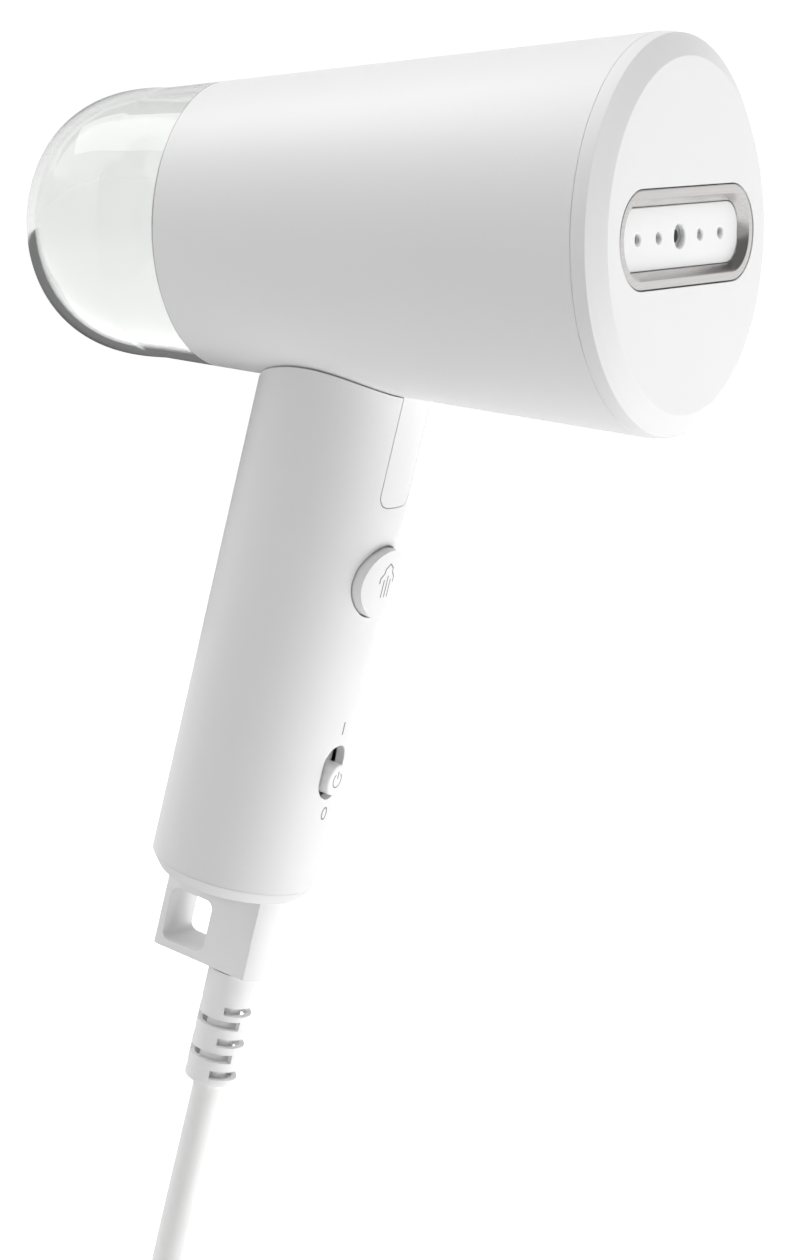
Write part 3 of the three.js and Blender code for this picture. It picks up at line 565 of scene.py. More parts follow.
# The studio, in metres: how bright mirrored rays find it, and the panels round the tank.
STUDIO_LIGHT = 0.95  # what mirrored rays see low down and from the front
STUDIO_DARK = 0.15  # and high up
BACKDROP = 1.05
FLAG_GREY = 0.2
FLAG_BEHIND = 0.07
STRIP_DISTANCE = 1.2
STRIP_STRENGTH = 2.1


def make_floor():
    """A pale seamless floor that glows softly, as a lit white table does."""
    half = 12
    plan = [(-half, -half), (half, -half), (half, half), (-half, half)]
    floor = new_mesh("floor", [(*corner, FLOOR_Z) for corner in plan], [(0, 1, 2, 3)])
    material, nodes, links, shader = new_material("floor_white")
    set_inputs(shader, {"Base Color": (0.8, 0.8, 0.8, 1), "Roughness": 0.9})
    set_inputs(shader, {"Emission Color": (1, 1, 1, 1), "Emission Strength": 1.0})
    floor.data.materials.append(material)
    floor.visible_diffuse = False
    floor.visible_glossy = False
    floor.visible_shadow = False


def make_world():
    """White behind the object and through the clear tank; mirrored rays see the studio instead."""
    world = bpy.data.worlds.new("studio")
    bpy.context.scene.world = world
    world.use_nodes = True
    world.cycles_visibility.diffuse = False
    nodes, links = world.node_tree.nodes, world.node_tree.links
    studio = nodes["Background"]
    direction = nodes.new("ShaderNodeTexCoord")
    height = nodes.new("ShaderNodeVectorMath")
    height.operation = "DOT_PRODUCT"
    height.inputs[1].default_value = (0, -0.35, 1)
    shade = nodes.new("ShaderNodeMapRange")
    shade.interpolation_type = "SMOOTHSTEP"
    set_inputs(shade, {"From Min": -0.35, "From Max": 0.5})
    set_inputs(shade, {"To Min": STUDIO_LIGHT, "To Max": STUDIO_DARK})
    links.new(direction.outputs["Generated"], height.inputs[0])
    links.new(height.outputs["Value"], shade.inputs["Value"])
    links.new(shade.outputs["Result"], studio.inputs["Color"])
    seen = nodes.new("ShaderNodeBackground")
    set_inputs(seen, {"Color": (1, 1, 1, 1), "Strength": BACKDROP})
    path = nodes.new("ShaderNodeLightPath")
    either = nodes.new("ShaderNodeMath")
    either.operation = "MAXIMUM"
    links.new(path.outputs["Is Camera Ray"], either.inputs[0])
    links.new(path.outputs["Is Transmission Ray"], either.inputs[1])
    mix = nodes.new("ShaderNodeMixShader")
    links.new(either.outputs[0], mix.inputs["Fac"])
    links.new(studio.outputs[0], mix.inputs[1])
    links.new(seen.outputs[0], mix.inputs[2])
    links.new(mix.outputs[0], nodes["World Output"].inputs["Surface"])


# The light tent: azimuth from the steamer's front towards its left, elevation, both in degrees,
# and strength in watts. Those below the floor shine through it, as in a lit glass table.
LIGHTS = [
    # below the front
    (0, -40, 11),
    (45, -40, 12),
    # to the right and to the left
    (-90, 5, 7),
    (90, 5, 7),
    # above the front, and overhead
    (0, 45, 8),
    (0, 85, 4),
    # above and below, behind
    (135, 45, 5.5),
    (180, 45, 5.5),
    (225, 45, 5.5),
    (180, -40, 5),
    (225, -40, 2.5),
]
LIGHT_TARGET = Vector((0.03, 0, 0.04))
LIGHT_DISTANCE = 1.3
LIGHT_SIZE = 1.0


def softbox(azimuth, elevation, strength):
    """A square light that looks at the steamer from a direction."""
    around, above = math.radians(azimuth), math.radians(elevation)
    flat = math.cos(above)
    way = Vector((math.cos(around) * flat, math.sin(around) * flat, math.sin(above)))
    light = bpy.data.lights.new(f"softbox_{azimuth}_{elevation}", "AREA")
    light.size = LIGHT_SIZE
    light.energy = strength
    lamp = new_object(light.name, light)
    lamp.location = LIGHT_TARGET + way * LIGHT_DISTANCE
    lamp.rotation_euler = way.to_track_quat("Z", "Y").to_euler()
    lamp.visible_camera = False
    lamp.visible_glossy = False
    lamp.visible_transmission = False


def panel(name, corners, strength):
    """A flat glowing panel of the studio, off to one side."""
    piece = new_mesh(name, corners, [(0, 1, 2, 3)])
    material, nodes, links, shader = new_material(name)
    set_inputs(shader, {"Base Color": (0, 0, 0, 1)})
    set_inputs(shader, {"Emission Color": (1, 1, 1, 1), "Emission Strength": strength})
    piece.data.materials.append(material)
    piece.visible_camera = False
    piece.visible_diffuse = False
    piece.visible_shadow = False
    return piece, nodes, links, shader


def overhead_strip():
    """The long lamp above and behind, which the tank mirrors as a bright pane."""
    ways = [(-0.70, 0.18, 0.62), (-0.74, -0.22, 0.62), (-0.33, -0.42, 0.85), (-0.33, 0.28, 0.90)]
    corners = [LIGHT_TARGET + Vector(way).normalized() * STRIP_DISTANCE for way in ways]
    piece = panel("overhead_strip", corners, STRIP_STRENGTH)[0]
    piece.visible_transmission = False


def dark_flag():
    """A grey flag close behind the tank, which shows only where the tank's wall mirrors it."""
    tip = HEAD @ Vector((-TANK_END, 0, 0))
    beyond = tip - CAMERA_BACK * FLAG_BEHIND
    spans = [(-0.13, 0), (0.05, 0), (0.05, -0.09), (-0.13, -0.09)]
    corners = [beyond + camera_right * x + camera_up * y for x, y in spans]
    piece, nodes, links, shader = panel("dark_flag", corners, FLAG_GREY)
    path = nodes.new("ShaderNodeLightPath")
    mirrored = nodes.new("ShaderNodeMath")
    mirrored.operation = "GREATER_THAN"
    mirrored.inputs[1].default_value = 0.5
    links.new(path.outputs["Glossy Depth"], mirrored.inputs[0])
    clear = nodes.new("ShaderNodeBsdfTransparent")
    mix = nodes.new("ShaderNodeMixShader")
    links.new(mirrored.outputs[0], mix.inputs["Fac"])
    links.new(clear.outputs[0], mix.inputs[1])
    links.new(shader.outputs[0], mix.inputs[2])
    links.new(mix.outputs[0], nodes["Material Output"].inputs["Surface"])


bpy.context.scene.view_settings.view_transform = "Standard"
make_floor()
make_world()
overhead_strip()
dark_flag()
for azimuth, elevation, strength in LIGHTS:
    softbox(azimuth, elevation, strength)


# ---------- the mains lead ----------
def spline(points, steps):
    """A smooth curve through points, with equal steps between each pair."""
    ends = [points[0] * 2 - points[1], *points, points[-1] * 2 - points[-2]]
    line = []
    for a, b, c, d in zip(ends, ends[1:], ends[2:], ends[3:]):
        for i in range(steps):
            t = i / steps
            square = 2 * a - 5 * b + 4 * c - d
            cube = 3 * b - a - 3 * c + d
            line.append(0.5 * (2 * b + (c - a) * t + square * t**2 + cube * t**3))
    line.append(points[-1])
    return line


LEAD_ROUTE = [
    (-0.01985, 0, -0.0981), (-0.0224, 0, -0.1076), (-0.025, 0, -0.1172),
    (-0.0276, 0, -0.1269), (-0.03005, 0, -0.1362), (-0.032, 0, -0.1435),
    (-0.0343, -0.0012, -0.1522), (-0.0365, -0.0047, -0.1604), (-0.0384, -0.01025, -0.1674),
    (-0.0391, -0.01345, -0.1701), (-0.03985, -0.0175, -0.1728), (-0.04075, -0.0259, -0.1762),
]
TAIL_ROUTE = [
    (0.0407, -0.0620, -0.18365), (0.0446, -0.0573, -0.1850), (0.0483, -0.0529, -0.18695),
    (0.0516, -0.0490, -0.1886), (0.0545, -0.0455, -0.1894), (0.0567, -0.0429, -0.18945),
    (0.05895, -0.0402, -0.1894), (0.06135, -0.03735, -0.18893), (0.06355, -0.0347, -0.18808),
]
COIL_CENTRE = Vector((0.0015, -0.037, 0))
COIL_RADIUS = 0.039
COIL_END = 140  # degrees of the last turn, to where the tail leaves
# Each turn's lane: its offset from the mean radius, in diameters, and its row.
COIL_LANES = [(0.5, 2), (-0.5, 2), (-1, 1), (0, 1), (-0.5, 0), (0.5, 0), (1, 1)]
ROW_Z = [-0.18945, -0.1833, -0.17715]


def coil_points():
    """Seven turns, each in a lane of its own, and the arc to where the tail leaves."""
    diameter = 2 * CORD_RADIUS * MM
    per_turn = 36
    change = 0.2  # the part of a turn in which the lead crosses to its next lane
    points = []
    last = len(COIL_LANES) * per_turn + round(per_turn * COIL_END / 360)
    for i in range(last + 1):
        turn_index = min(i // per_turn, len(COIL_LANES) - 1)
        part = (i - turn_index * per_turn) / per_turn
        offset, row = COIL_LANES[turn_index]
        height = ROW_Z[row]
        if turn_index and part < change:
            ease = (1 - math.cos(math.pi * part / change)) / 2
            old_offset, old_row = COIL_LANES[turn_index - 1]
            offset = old_offset + (offset - old_offset) * ease
            height = ROW_Z[old_row] + (height - ROW_Z[old_row]) * ease
        radius = COIL_RADIUS + offset * diameter
        angle = math.pi + math.tau * i / per_turn
        flat = Vector((math.cos(angle), math.sin(angle), 0)) * radius
        points.append(COIL_CENTRE + flat + Vector((0, 0, height)))
    return points


def make_lead():
    """The lead from inside the strain relief, down to the coil and out to the plug."""
    inside = [HANDLE @ Vector((SLEEVE_FORWARD, 0, -drop)) for drop in (176, 184, 192)]
    lead = [Vector(point) for point in LEAD_ROUTE]
    tail = [Vector(point) for point in TAIL_ROUTE]
    line = spline(inside + lead + coil_points() + tail, 3)
    data = bpy.data.curves.new("mains_lead", "CURVE")
    data.dimensions = "3D"
    data.bevel_depth = CORD_RADIUS * MM
    data.bevel_resolution = 5
    data.use_fill_caps = True
    path = data.splines.new("POLY")
    path.points.add(len(line) - 1)
    for point, where in zip(path.points, line):
        point.co = (*where, 1)
    path.use_smooth = True
    data.materials.append(FINISHES["cord_white"])
    cord = new_object("mains_lead", data)
    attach(cord, "handle")
    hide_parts("cord_lead", "cord_coil", "cord_tail")
    return cord


lead = make_lead()


# ---------- the head ----------
def body_radius(depth):
    return BODY_RADIUS - (depth - BAND_DEPTH) * math.tan(BODY_TAPER)


def front_cover():
    """The flat round front with its bevel and white band, and the skirt inside the head."""

    def skirt(depth):
        return body_radius(depth) - BODY_WALL - 0.1

    cover = turned(
        "front_cover_visual",
        back,
        soften(
            [
                (0, 0),
                (0, FACE_RADIUS, 0.5),
                (BEVEL_DEPTH, BEVEL_RADIUS, 0.15),
                (BAND_DEPTH, BODY_RADIUS, 0.12),
                (BAND_DEPTH, skirt(BAND_DEPTH)),
                (COVER_SKIRT, skirt(COVER_SKIRT)),
                (COVER_SKIRT, skirt(COVER_SKIRT) - 1.8),
                (2 * COVER_WALL, skirt(COVER_SKIRT) - 1.8),
                (COVER_WALL + 0.5, FACE_RADIUS - 2),
                (COVER_WALL, FACE_RADIUS - 4),
                (COVER_WALL, 0),
            ]
        ),
    )
    opening = prism("opening", face_plane, slot_outline(BEZEL_LENGTH, BEZEL_HEIGHT), -8, 1)
    cut(cover, opening)
    return place(cover, HEAD, "head", "white_shell", ["front_cover"])


def steam_bezel():
    """A ring of one section all the way round the outlet: lip, funnel and outer wall."""
    inner = BEZEL_LIP + BEZEL_SLOPE
    section = soften(
        [
            (0.25, BEZEL_DEPTH),
            (0.25, 0.02, 0.3),
            (BEZEL_LIP, 0.02, 0.4),
            (inner, PLATE_DEPTH, 0.2),
            (inner, BEZEL_DEPTH),
        ]
    )
    rings = []
    for amount, depth in section:
        square = PLATE_SQUARENESS * min(1, max(0, amount - BEZEL_LIP) / BEZEL_SLOPE)
        outline = slot_outline(BEZEL_LENGTH - 2 * amount, BEZEL_HEIGHT - 2 * amount, square)
        rings.append([face_plane(p.x, p.y, -depth) for p in outline])
    bezel = skin("steam_bezel_visual", rings, closed=True)
    return place(bezel, HEAD, "head", "bezel_metal", ["steam_bezel"])


def hole_radius(number):
    """The middle one of the five steam holes is the large one."""
    return HOLE_RADIUS if number else MIDDLE_HOLE_RADIUS


def steam_plate():
    """The white plate in the outlet: a boss with the five holes, and the flange behind the rim."""
    margin = BEZEL_LIP + BEZEL_SLOPE + 0.12
    boss = slot_outline(BEZEL_LENGTH - 2 * margin, BEZEL_HEIGHT - 2 * margin, PLATE_SQUARENESS)
    plate = prism("steam_plate_visual", face_plane, boss, -BEZEL_DEPTH - 1, -PLATE_DEPTH, 0.3)
    flange = slot_outline(BEZEL_LENGTH - 2, BEZEL_HEIGHT - 2)
    join(plate, prism("flange", face_plane, flange, -PLATE_BACK, -BEZEL_DEPTH - GAP))
    holes = []
    for number in HOLES:
        radius = hole_radius(number)
        outside = PLATE_DEPTH - 0.5
        mouth = [(outside, 0), (outside, radius + HOLE_RIM), (PLATE_DEPTH, radius + HOLE_RIM, 0.1)]
        well = [(PLATE_DEPTH + HOLE_RIM, radius), (8, radius), (8, 0)]
        hole = turned("hole", back, soften(mouth + well), SMALL)
        holes.append(shifted(hole, 0, number * HOLE_PITCH, 0))
    cut(plate, *holes)
    return place(plate, HEAD, "head", "white_plate", ["steam_plate"])


def nozzles_and_hole_shade():
    """The mouths of the steam chamber's ducts a little way down the plate's holes, whose grey metal also stands in
    as painted shade that darkens the holes.
    """
    mouths_and_shade = []
    for number in HOLES:
        radius = hole_radius(number) - 0.02
        start = PLATE_DEPTH + NOZZLE_DEPTH
        ring = tube(start, start + NOZZLE_LENGTH, radius, radius * 0.55)
        mouth = turned("nozzles_and_hole_shade", back, ring, SMALL)
        mouths_and_shade.append(shifted(mouth, 0, number * HOLE_PITCH, 0))
    return place(merged(mouths_and_shade), HEAD, "head", "aluminium_cast")


def tongue_outline(half, end, top, r=TONGUE_CORNER):
    return soften([(-half, -top), (-half, -end, r), (half, -end, r), (half, -top)], steps=8)


def pin_in_head():
    return HANDLE_TO_HEAD @ Vector((PIN_FORWARD, 0, -PIN_DROP))


def head_shell():
    """The cone, with the tongue that fills the handle's front and the knuckle of the fold."""
    front = BAND_DEPTH + 0.06
    rear = TANK_DEPTH - TANK_SEAM
    shell = turned(
        "head_shell_visual",
        back,
        soften(
            [
                (front, body_radius(front) - BODY_WALL),
                (front, body_radius(front), 0.08),
                (rear, body_radius(rear), 0.08),
                (rear, body_radius(rear) - BODY_WALL, 0.2),
            ],
            closed=True,
        ),
    )
    tongue = turned("tongue", down, tube(32, 60, HANDLE_RADIUS, HANDLE_RADIUS - TONGUE_THICKNESS), FINE)
    outline = tongue_outline(TONGUE_HALF, TONGUE_END, 28)
    common(tongue, prism("outline", face_plane, outline, 5, 25))
    moved(tongue, HANDLE_TO_HEAD)
    pin = pin_in_head()
    top = body_radius(-pin.x) - 1.7
    outline = knuckle_outline(pin, -top)
    knuckle = prism("knuckle", side_plane, outline, -KNUCKLE_HALF, KNUCKLE_HALF, 0.25)
    flush = moved(turned("flush", down, rod(20, 60, HANDLE_RADIUS - GAP), FINE), HANDLE_TO_HEAD)
    common(knuckle, flush)
    join(shell, tongue, knuckle)
    pin_hole = drill(across, -10, 10, PIN_RADIUS + 0.1, (pin.x, 0, pin.z))
    wire_hole = drill(down, 20, 42, 4, (-81.5, 0, 0))
    cut(shell, pin_hole, wire_hole)
    return place(shell, HEAD, "head", "white_shell", ["head_shell"])


def knuckle_outline(pin, top):
    """The knuckle from the side: a round end about the pin, and straight sides up to the head."""
    points = [Vector((pin.x + KNUCKLE_RADIUS, top)), Vector((pin.x - KNUCKLE_RADIUS, top))]
    for step in range(17):
        angle = math.pi + math.pi * step / 16
        spoke = Vector((math.cos(angle), math.sin(angle)))
        points.append(Vector((pin.x, pin.z)) + spoke * KNUCKLE_RADIUS)
    return points


def dome(wall, steps):
    """A superellipse from the dome's start to the axis, with a wall's thickness taken off."""
    start = body_radius(DOME_DEPTH) - wall
    length = TANK_END - DOME_DEPTH - wall
    points = []
    for i in range(steps + 1):
        angle = math.pi / 2 * i / steps
        along = math.sin(angle) ** (2 / DOME_POWER)
        radius = max(0.0, math.cos(angle)) ** (2 / DOME_POWER)
        points.append((DOME_DEPTH + length * along, start * radius if i < steps else 0))
    return points


def tank_shell():
    """The clear tank: a short cone and a dome, with a wall of one thickness."""
    front = TANK_DEPTH + TANK_SEAM
    outer = [(front, body_radius(front)), *dome(0, 64)]
    inner = [(front, body_radius(front) - TANK_WALL), *dome(TANK_WALL, 64)]
    tank = turned("tank_shell_visual", back, outer + inner[::-1] + outer[:1])
    return place(tank, HEAD, "tank", "clear_tank", ["tank_shell"], sharp=40)


def tank_base():
    """The tank's front wall, with its neck and the filler hole."""
    wall = body_radius(DOME_DEPTH) - TANK_WALL - 0.05
    front = BASE_DEPTH
    neck = BULKHEAD_DEPTH - 4.5
    disc = turned(
        "tank_base_visual",
        back,
        soften(
            [
                (front + BASE_THICKNESS, NECK_RADIUS - 2, 0.3),
                (front + BASE_THICKNESS, wall, 0.3),
                (front, wall, 0.3),
                (front, NECK_RADIUS, 0.5),
                (neck, NECK_RADIUS, 0.4),
                (neck, NECK_RADIUS - 2, 0.4),
            ],
            closed=True,
        ),
        MEDIUM,
    )
    cut(disc, drill(back, front - 2, front + 5, 6, (0, 0, FILLER_HEIGHT)))
    return place(disc, HEAD, "tank", "white_plate", ["tank_base"])


def outlet_valve():
    """The rubber valve in the tank's neck."""
    front = BULKHEAD_DEPTH - 4
    outline = [(front, 1), (front, 4.4, 0.4), (front + 4, 4.7), (front + 9, 4.7, 0.4), (front + 9, 1)]
    valve = turned("outlet_valve_visual", back, soften(outline, closed=True), SMALL)
    return place(valve, HEAD, "tank", "silicone", ["outlet_valve"])


def filler_stopper():
    """The rubber stopper of the filler hole, with its lip."""
    face = BASE_DEPTH
    outline = [
        (face - 2, 0),
        (face - 2, 5.6, 0.4),
        (face - 1.5, 6.2, 0.3),
        (face - 2, 7.4, 0.5),
        (face - 0.15, 7.4, 0.3),
        (face - 0.15, 5.7),
        (face + 5, 5.3, 0.6),
        (face + 5, 0),
    ]
    stopper = shifted(turned("filler_stopper_visual", back, soften(outline), SMALL), 0, 0, FILLER_HEIGHT)
    return place(stopper, HEAD, "tank", "silicone", ["filler_stopper"])


def tank_socket():
    """The wall at the back of the head, with the cup for the tank's neck."""
    cup = SOCKET_DEPTH
    rear = BULKHEAD_DEPTH + BULKHEAD_THICKNESS
    wall = body_radius(rear) - BODY_WALL - 0.1
    outline = [
        (cup, 0),
        (cup, 10.6, 0.5),
        (BULKHEAD_DEPTH, 10.6, 1),
        (BULKHEAD_DEPTH, wall),
        (rear, wall),
        (rear, NECK_RADIUS + 1.8, 0.8),
        (cup + 2, NECK_RADIUS + 1.8, 0.5),
        (cup + 2, 0),
    ]
    socket = turned("tank_socket_visual", back, soften(outline), MEDIUM)
    cut(socket, drill(back, cup - 1, cup + 3, 1.5))
    return place(socket, HEAD, "head", "white_plate", ["tank_socket"])


def socket_seal():
    """A round ring about the tank's neck."""
    thickness = 0.6
    outline = []
    for i in range(16):
        angle = math.tau * i / 16
        depth = BULKHEAD_DEPTH - 1 + thickness * math.sin(angle)
        outline.append((depth, NECK_RADIUS + 0.9 + thickness * math.cos(angle)))
    seal = turned("socket_seal_visual", back, outline + outline[:1], MEDIUM)
    return place(seal, HEAD, "head", "silicone", ["socket_seal"])


front_cover()
steam_bezel()
steam_plate()
nozzles_and_hole_shade()
head_shell()
tank_shell()
tank_base()
outlet_valve()
filler_stopper()
tank_socket()
socket_seal()


# ---------- the handle ----------
def head_envelope(sag, extra):
    """The head's underside, swollen by the gap that the handle's top keeps to it."""
    depths = [20 + 5 * i for i in range(27)]
    outline = [(20, 0), *((depth, body_radius(depth)) for depth in depths), (depths[-1], 0)]
    shape = turned("envelope", back, outline, FINE)
    for vertex in shape.data.vertices:
        radial = Vector((0, vertex.co.y, vertex.co.z))
        if radial.length > 1:
            share = min(1.3, abs(vertex.co.y) / HANDLE_RADIUS) ** 4
            vertex.co += radial.normalized() * (sag + extra * share)
    return moved(shape, HEAD_TO_HANDLE)


def pin_drum(extra):
    """The barrel about the hinge pin, a little fuller at its ends."""
    outline = [(y, 4.3 + y * y / 66 + extra) for y in range(-13, 14)]
    drum = turned("drum", across, [(-13, 0), *outline, (13, 0)], MEDIUM)
    return shifted(drum, PIN_FORWARD, 0, -PIN_DROP)


def handle_block(fore, side, drops):
    """A block between two places forward, two to the side and two drops."""
    outline = rectangle(fore[0], fore[1], -drops[1], -drops[0])
    return prism("block", side_plane, outline, side[0], side[1])


def handle_shell():
    """The grip's tube, scooped for the head, with the lugs of the fold and the three openings."""
    inside = HANDLE_RADIUS - HANDLE_WALL
    shell = turned("handle_shell_visual", down, tube(25, HANDLE_END, HANDLE_RADIUS, inside), 256)
    above = handle_block((-25, PIN_FORWARD), (-13, 13), (-20, PIN_DROP))
    cut(shell, cut(above, pin_drum(0)))
    lugs = pin_drum(0)
    cut(lugs, handle_block((-40, 40), (-KNUCKLE_HALF - GAP, KNUCKLE_HALF + GAP), (0, 80)))
    common(lugs, turned("flush", down, rod(30, 60, HANDLE_RADIUS - 0.01), 256))
    join(shell, lugs)
    tongue_slot = tongue_outline(TONGUE_HALF + TONGUE_SEAM, TONGUE_END + TONGUE_SEAM, 20)
    slider_slot = rectangle(-SLOT_HALF, SLOT_HALF, -SLOT_BOTTOM, -SLOT_TOP, SLOT_HALF - 0.01, 16)
    cut(
        shell,
        head_envelope(SADDLE_GAP, SADDLE_EXTRA),
        handle_block((-25, -9.9), (-KNUCKLE_HALF - GAP, KNUCKLE_HALF + GAP), (-20, 48.3)),
        drill(across, -9.5, 20, PIN_RADIUS + 0.1, (PIN_FORWARD, 0, -PIN_DROP)),
        prism("tongue_slot", face_plane, tongue_slot, 8, 25),
        drill(forward, 5, 25, TRIGGER_HOLE, (0, 0, -TRIGGER_DROP), MEDIUM),
        prism("slider_slot", face_plane, slider_slot, 5, 25),
    )
    return place(shell, HANDLE, "handle", "white_handle", ["handle_shell"])


def trigger_button():
    """A hollow cap with a flange behind the handle's wall and a crown that follows the handle."""
    face, r = TRIGGER_FACE, TRIGGER_RADIUS
    outline = soften(
        [
            (12.6, 0),
            (12.6, 2),
            (face - 2, 2),
            (face - 2, r - 1.8),
            (11.8, r - 1.8),
            (11.8, r + 1.4),
            (13.2, r + 1.4),
            (13.2, r),
            (face + 1, r),
            (face + 1, 0),
        ]
    )
    button = shifted(turned("trigger_button_visual", forward, outline, MEDIUM), 0, 0, -TRIGGER_DROP)
    common(button, turned("crown", down, rod(60, 90, face), 256))
    return place(button, HANDLE, "trigger", "white_control", ["trigger_button"])


def power_slider():
    """A plate behind the handle's wall with the round knob on it."""
    plate = handle_block((13.7, 15.2), (-5, 5), (115.2, 131))
    plate.name = "power_slider_visual"
    knob = turned(
        "knob",
        forward,
        soften([(14.5, 0), (14.5, KNOB_RADIUS), (KNOB_FACE, KNOB_RADIUS, 0.45), (KNOB_FACE, 0)]),
        MEDIUM,
    )
    join(plate, shifted(knob, 0, 0, -KNOB_DROP))
    return place(plate, HANDLE, "slider", "white_control", ["power_slider"])


def end_cap():
    """The chamfered cap of the handle, a cup with holes for the lead and two screws."""
    wall = HANDLE_RADIUS - HANDLE_WALL - GAP
    cup = turned(
        "end_cap_visual",
        down,
        soften(
            [
                (CAP_START, wall),
                (HANDLE_END + 0.02, wall),
                (HANDLE_END + 0.02, HANDLE_RADIUS),
                (CAP_END, CAP_RADIUS, 0.5),
                (CAP_END, 0),
                (CAP_END - 2, 0),
                (CAP_END - 2, CAP_RADIUS - 2),
                (CAP_START, CAP_RADIUS - 2),
                (CAP_START, wall),
            ]
        ),
    )
    screws = [drill(down, 145, 155, 1.7, (-7, y, 0)) for y in (-9, 9)]
    cut(cup, drill(down, 145, 155, LEAD_BORE, (SLEEVE_FORWARD, 0, 0)), *screws)
    return place(cup, HANDLE, "handle", "white_handle", ["end_cap"])


def hanging_loop():
    """The block below the end cap, with its bowed front, its eye and the hole for the lead."""
    radius = (LOOP_HALF**2 + LOOP_BULGE**2) / (2 * LOOP_BULGE)
    centre = LOOP_FRONT + LOOP_BULGE - radius
    sweep = math.asin(LOOP_HALF / radius)
    bow = []
    for i in range(17):
        angle = -sweep + 2 * sweep * i / 16
        bow.append(Vector((centre + radius * math.cos(angle), radius * math.sin(angle))))
    plan = [Vector((LOOP_BACK, LOOP_HALF)), Vector((LOOP_BACK, -LOOP_HALF)), *bow]
    block = prism("hanging_loop_visual", plan_plane, plan, -LOOP_BOTTOM, -LOOP_TOP)
    side = [
        (LOOP_BACK, -LOOP_BOTTOM, 0.5),
        (LOOP_FRONT + LOOP_BULGE + 1, -LOOP_BOTTOM),
        (LOOP_FRONT + LOOP_BULGE + 1, -LOOP_TOP),
        (LOOP_BACK, -LOOP_TOP),
    ]
    common(block, prism("side", side_plane, soften(side), -LOOP_HALF, LOOP_HALF, 0.35))
    eye = rectangle(EYE_BACK, EYE_FRONT, -EYE_BOTTOM, -EYE_TOP, 2.0)
    hole = prism("eye", side_plane, eye, -9, 9)
    bore = drill(down, LOOP_TOP - 1, LOOP_BOTTOM + 1, LEAD_BORE, (SLEEVE_FORWARD, 0, 0))
    cut(block, hole, bore)
    return place(block, HANDLE, "handle", "soft_white", ["hanging_loop"])


def ribbon(name, line, width, surface, closed=False):
    """A printed line: a thin strip along points (y, z), lying on the surface x = surface(y)."""
    rings = []
    for i, here in enumerate(line):
        one = line[i - 1] if i or closed else here
        two = line[(i + 1) % len(line)] if i + 1 < len(line) or closed else here
        along = (two - one).normalized()
        sideways = Vector((-along.y, along.x)) * width / 2
        left, right = here - sideways, here + sideways
        ring = []
        for point, lift in ((left, -0.05), (right, -0.05), (right, 0.03), (left, 0.03)):
            ring.append((surface(point.x) + lift, point.x, point.y))
        rings.append(ring)
    return skin(name, rings, closed)


def arc(centre, radius_y, radius_z, start, end, steps=24):
    """Part of an ellipse, between two angles in degrees."""
    points = []
    for i in range(steps + 1):
        angle = math.radians(start + (end - start) * i / steps)
        spoke = Vector((radius_y * math.cos(angle), radius_z * math.sin(angle)))
        points.append(Vector(centre) + spoke)
    return points


def printed(name, strips, body):
    mark = merged(strips)
    mark.name = name
    return place(mark, HANDLE, body, "grey_plastic", material=INK)


def handle_front(y, radius=HANDLE_RADIUS):
    return math.sqrt(radius**2 - y * y)


def on_off_marks():
    """The generic I above the slider, for on, and the O below it, for off."""
    line = [Vector((0, -108 - 3 * i / 6)) for i in range(7)]
    printed("on_mark", [ribbon("on", line, 0.42, handle_front)], "handle")
    ring = arc((0.2, -129.8), 0.95, 1.4, 0, 345, 23)
    printed("off_mark", [ribbon("off", ring, 0.38, handle_front, closed=True)], "handle")


def power_symbol():
    """The generic broken ring with a bar, on the slider's knob."""
    centre = (0, -KNOB_DROP)
    strips = [
        ribbon("ring", arc(centre, 1.65, 1.7, 125, 415), 0.28, lambda y: KNOB_FACE),
        ribbon("bar", [Vector((0, -KNOB_DROP + z)) for z in (0.3, 1.2, 2.1)], 0.28, lambda y: KNOB_FACE),
    ]
    printed("power_symbol", strips, "slider")


def trigger_front(y):
    return handle_front(y, TRIGGER_FACE)


def steam_symbol():
    """Three jets of steam that rise under a stepped arrowhead."""
    strips = []
    for y, low, high in ((-1.3, -2.9, 1.2), (0, -2.9, 2.1), (1.3, -2.9, 1.2)):
        jet = [Vector((y, -TRIGGER_DROP + low + (high - low) * i / 6)) for i in range(7)]
        strips.append(ribbon("jet", jet, 0.3, trigger_front))
    for side in (-1, 1):
        wing = []
        for y, z in soften([(2.8, 0.4), (2.8, 1.6, 0.6), (1.6, 2.8, 0.5), (1.55, 3.7, 0.5), (0.05, 4.8)]):
            wing.append(Vector((side * y, -TRIGGER_DROP + z)))
        strips.append(ribbon("wing", wing, 0.34, trigger_front))
    printed("steam_symbol", strips, "trigger")


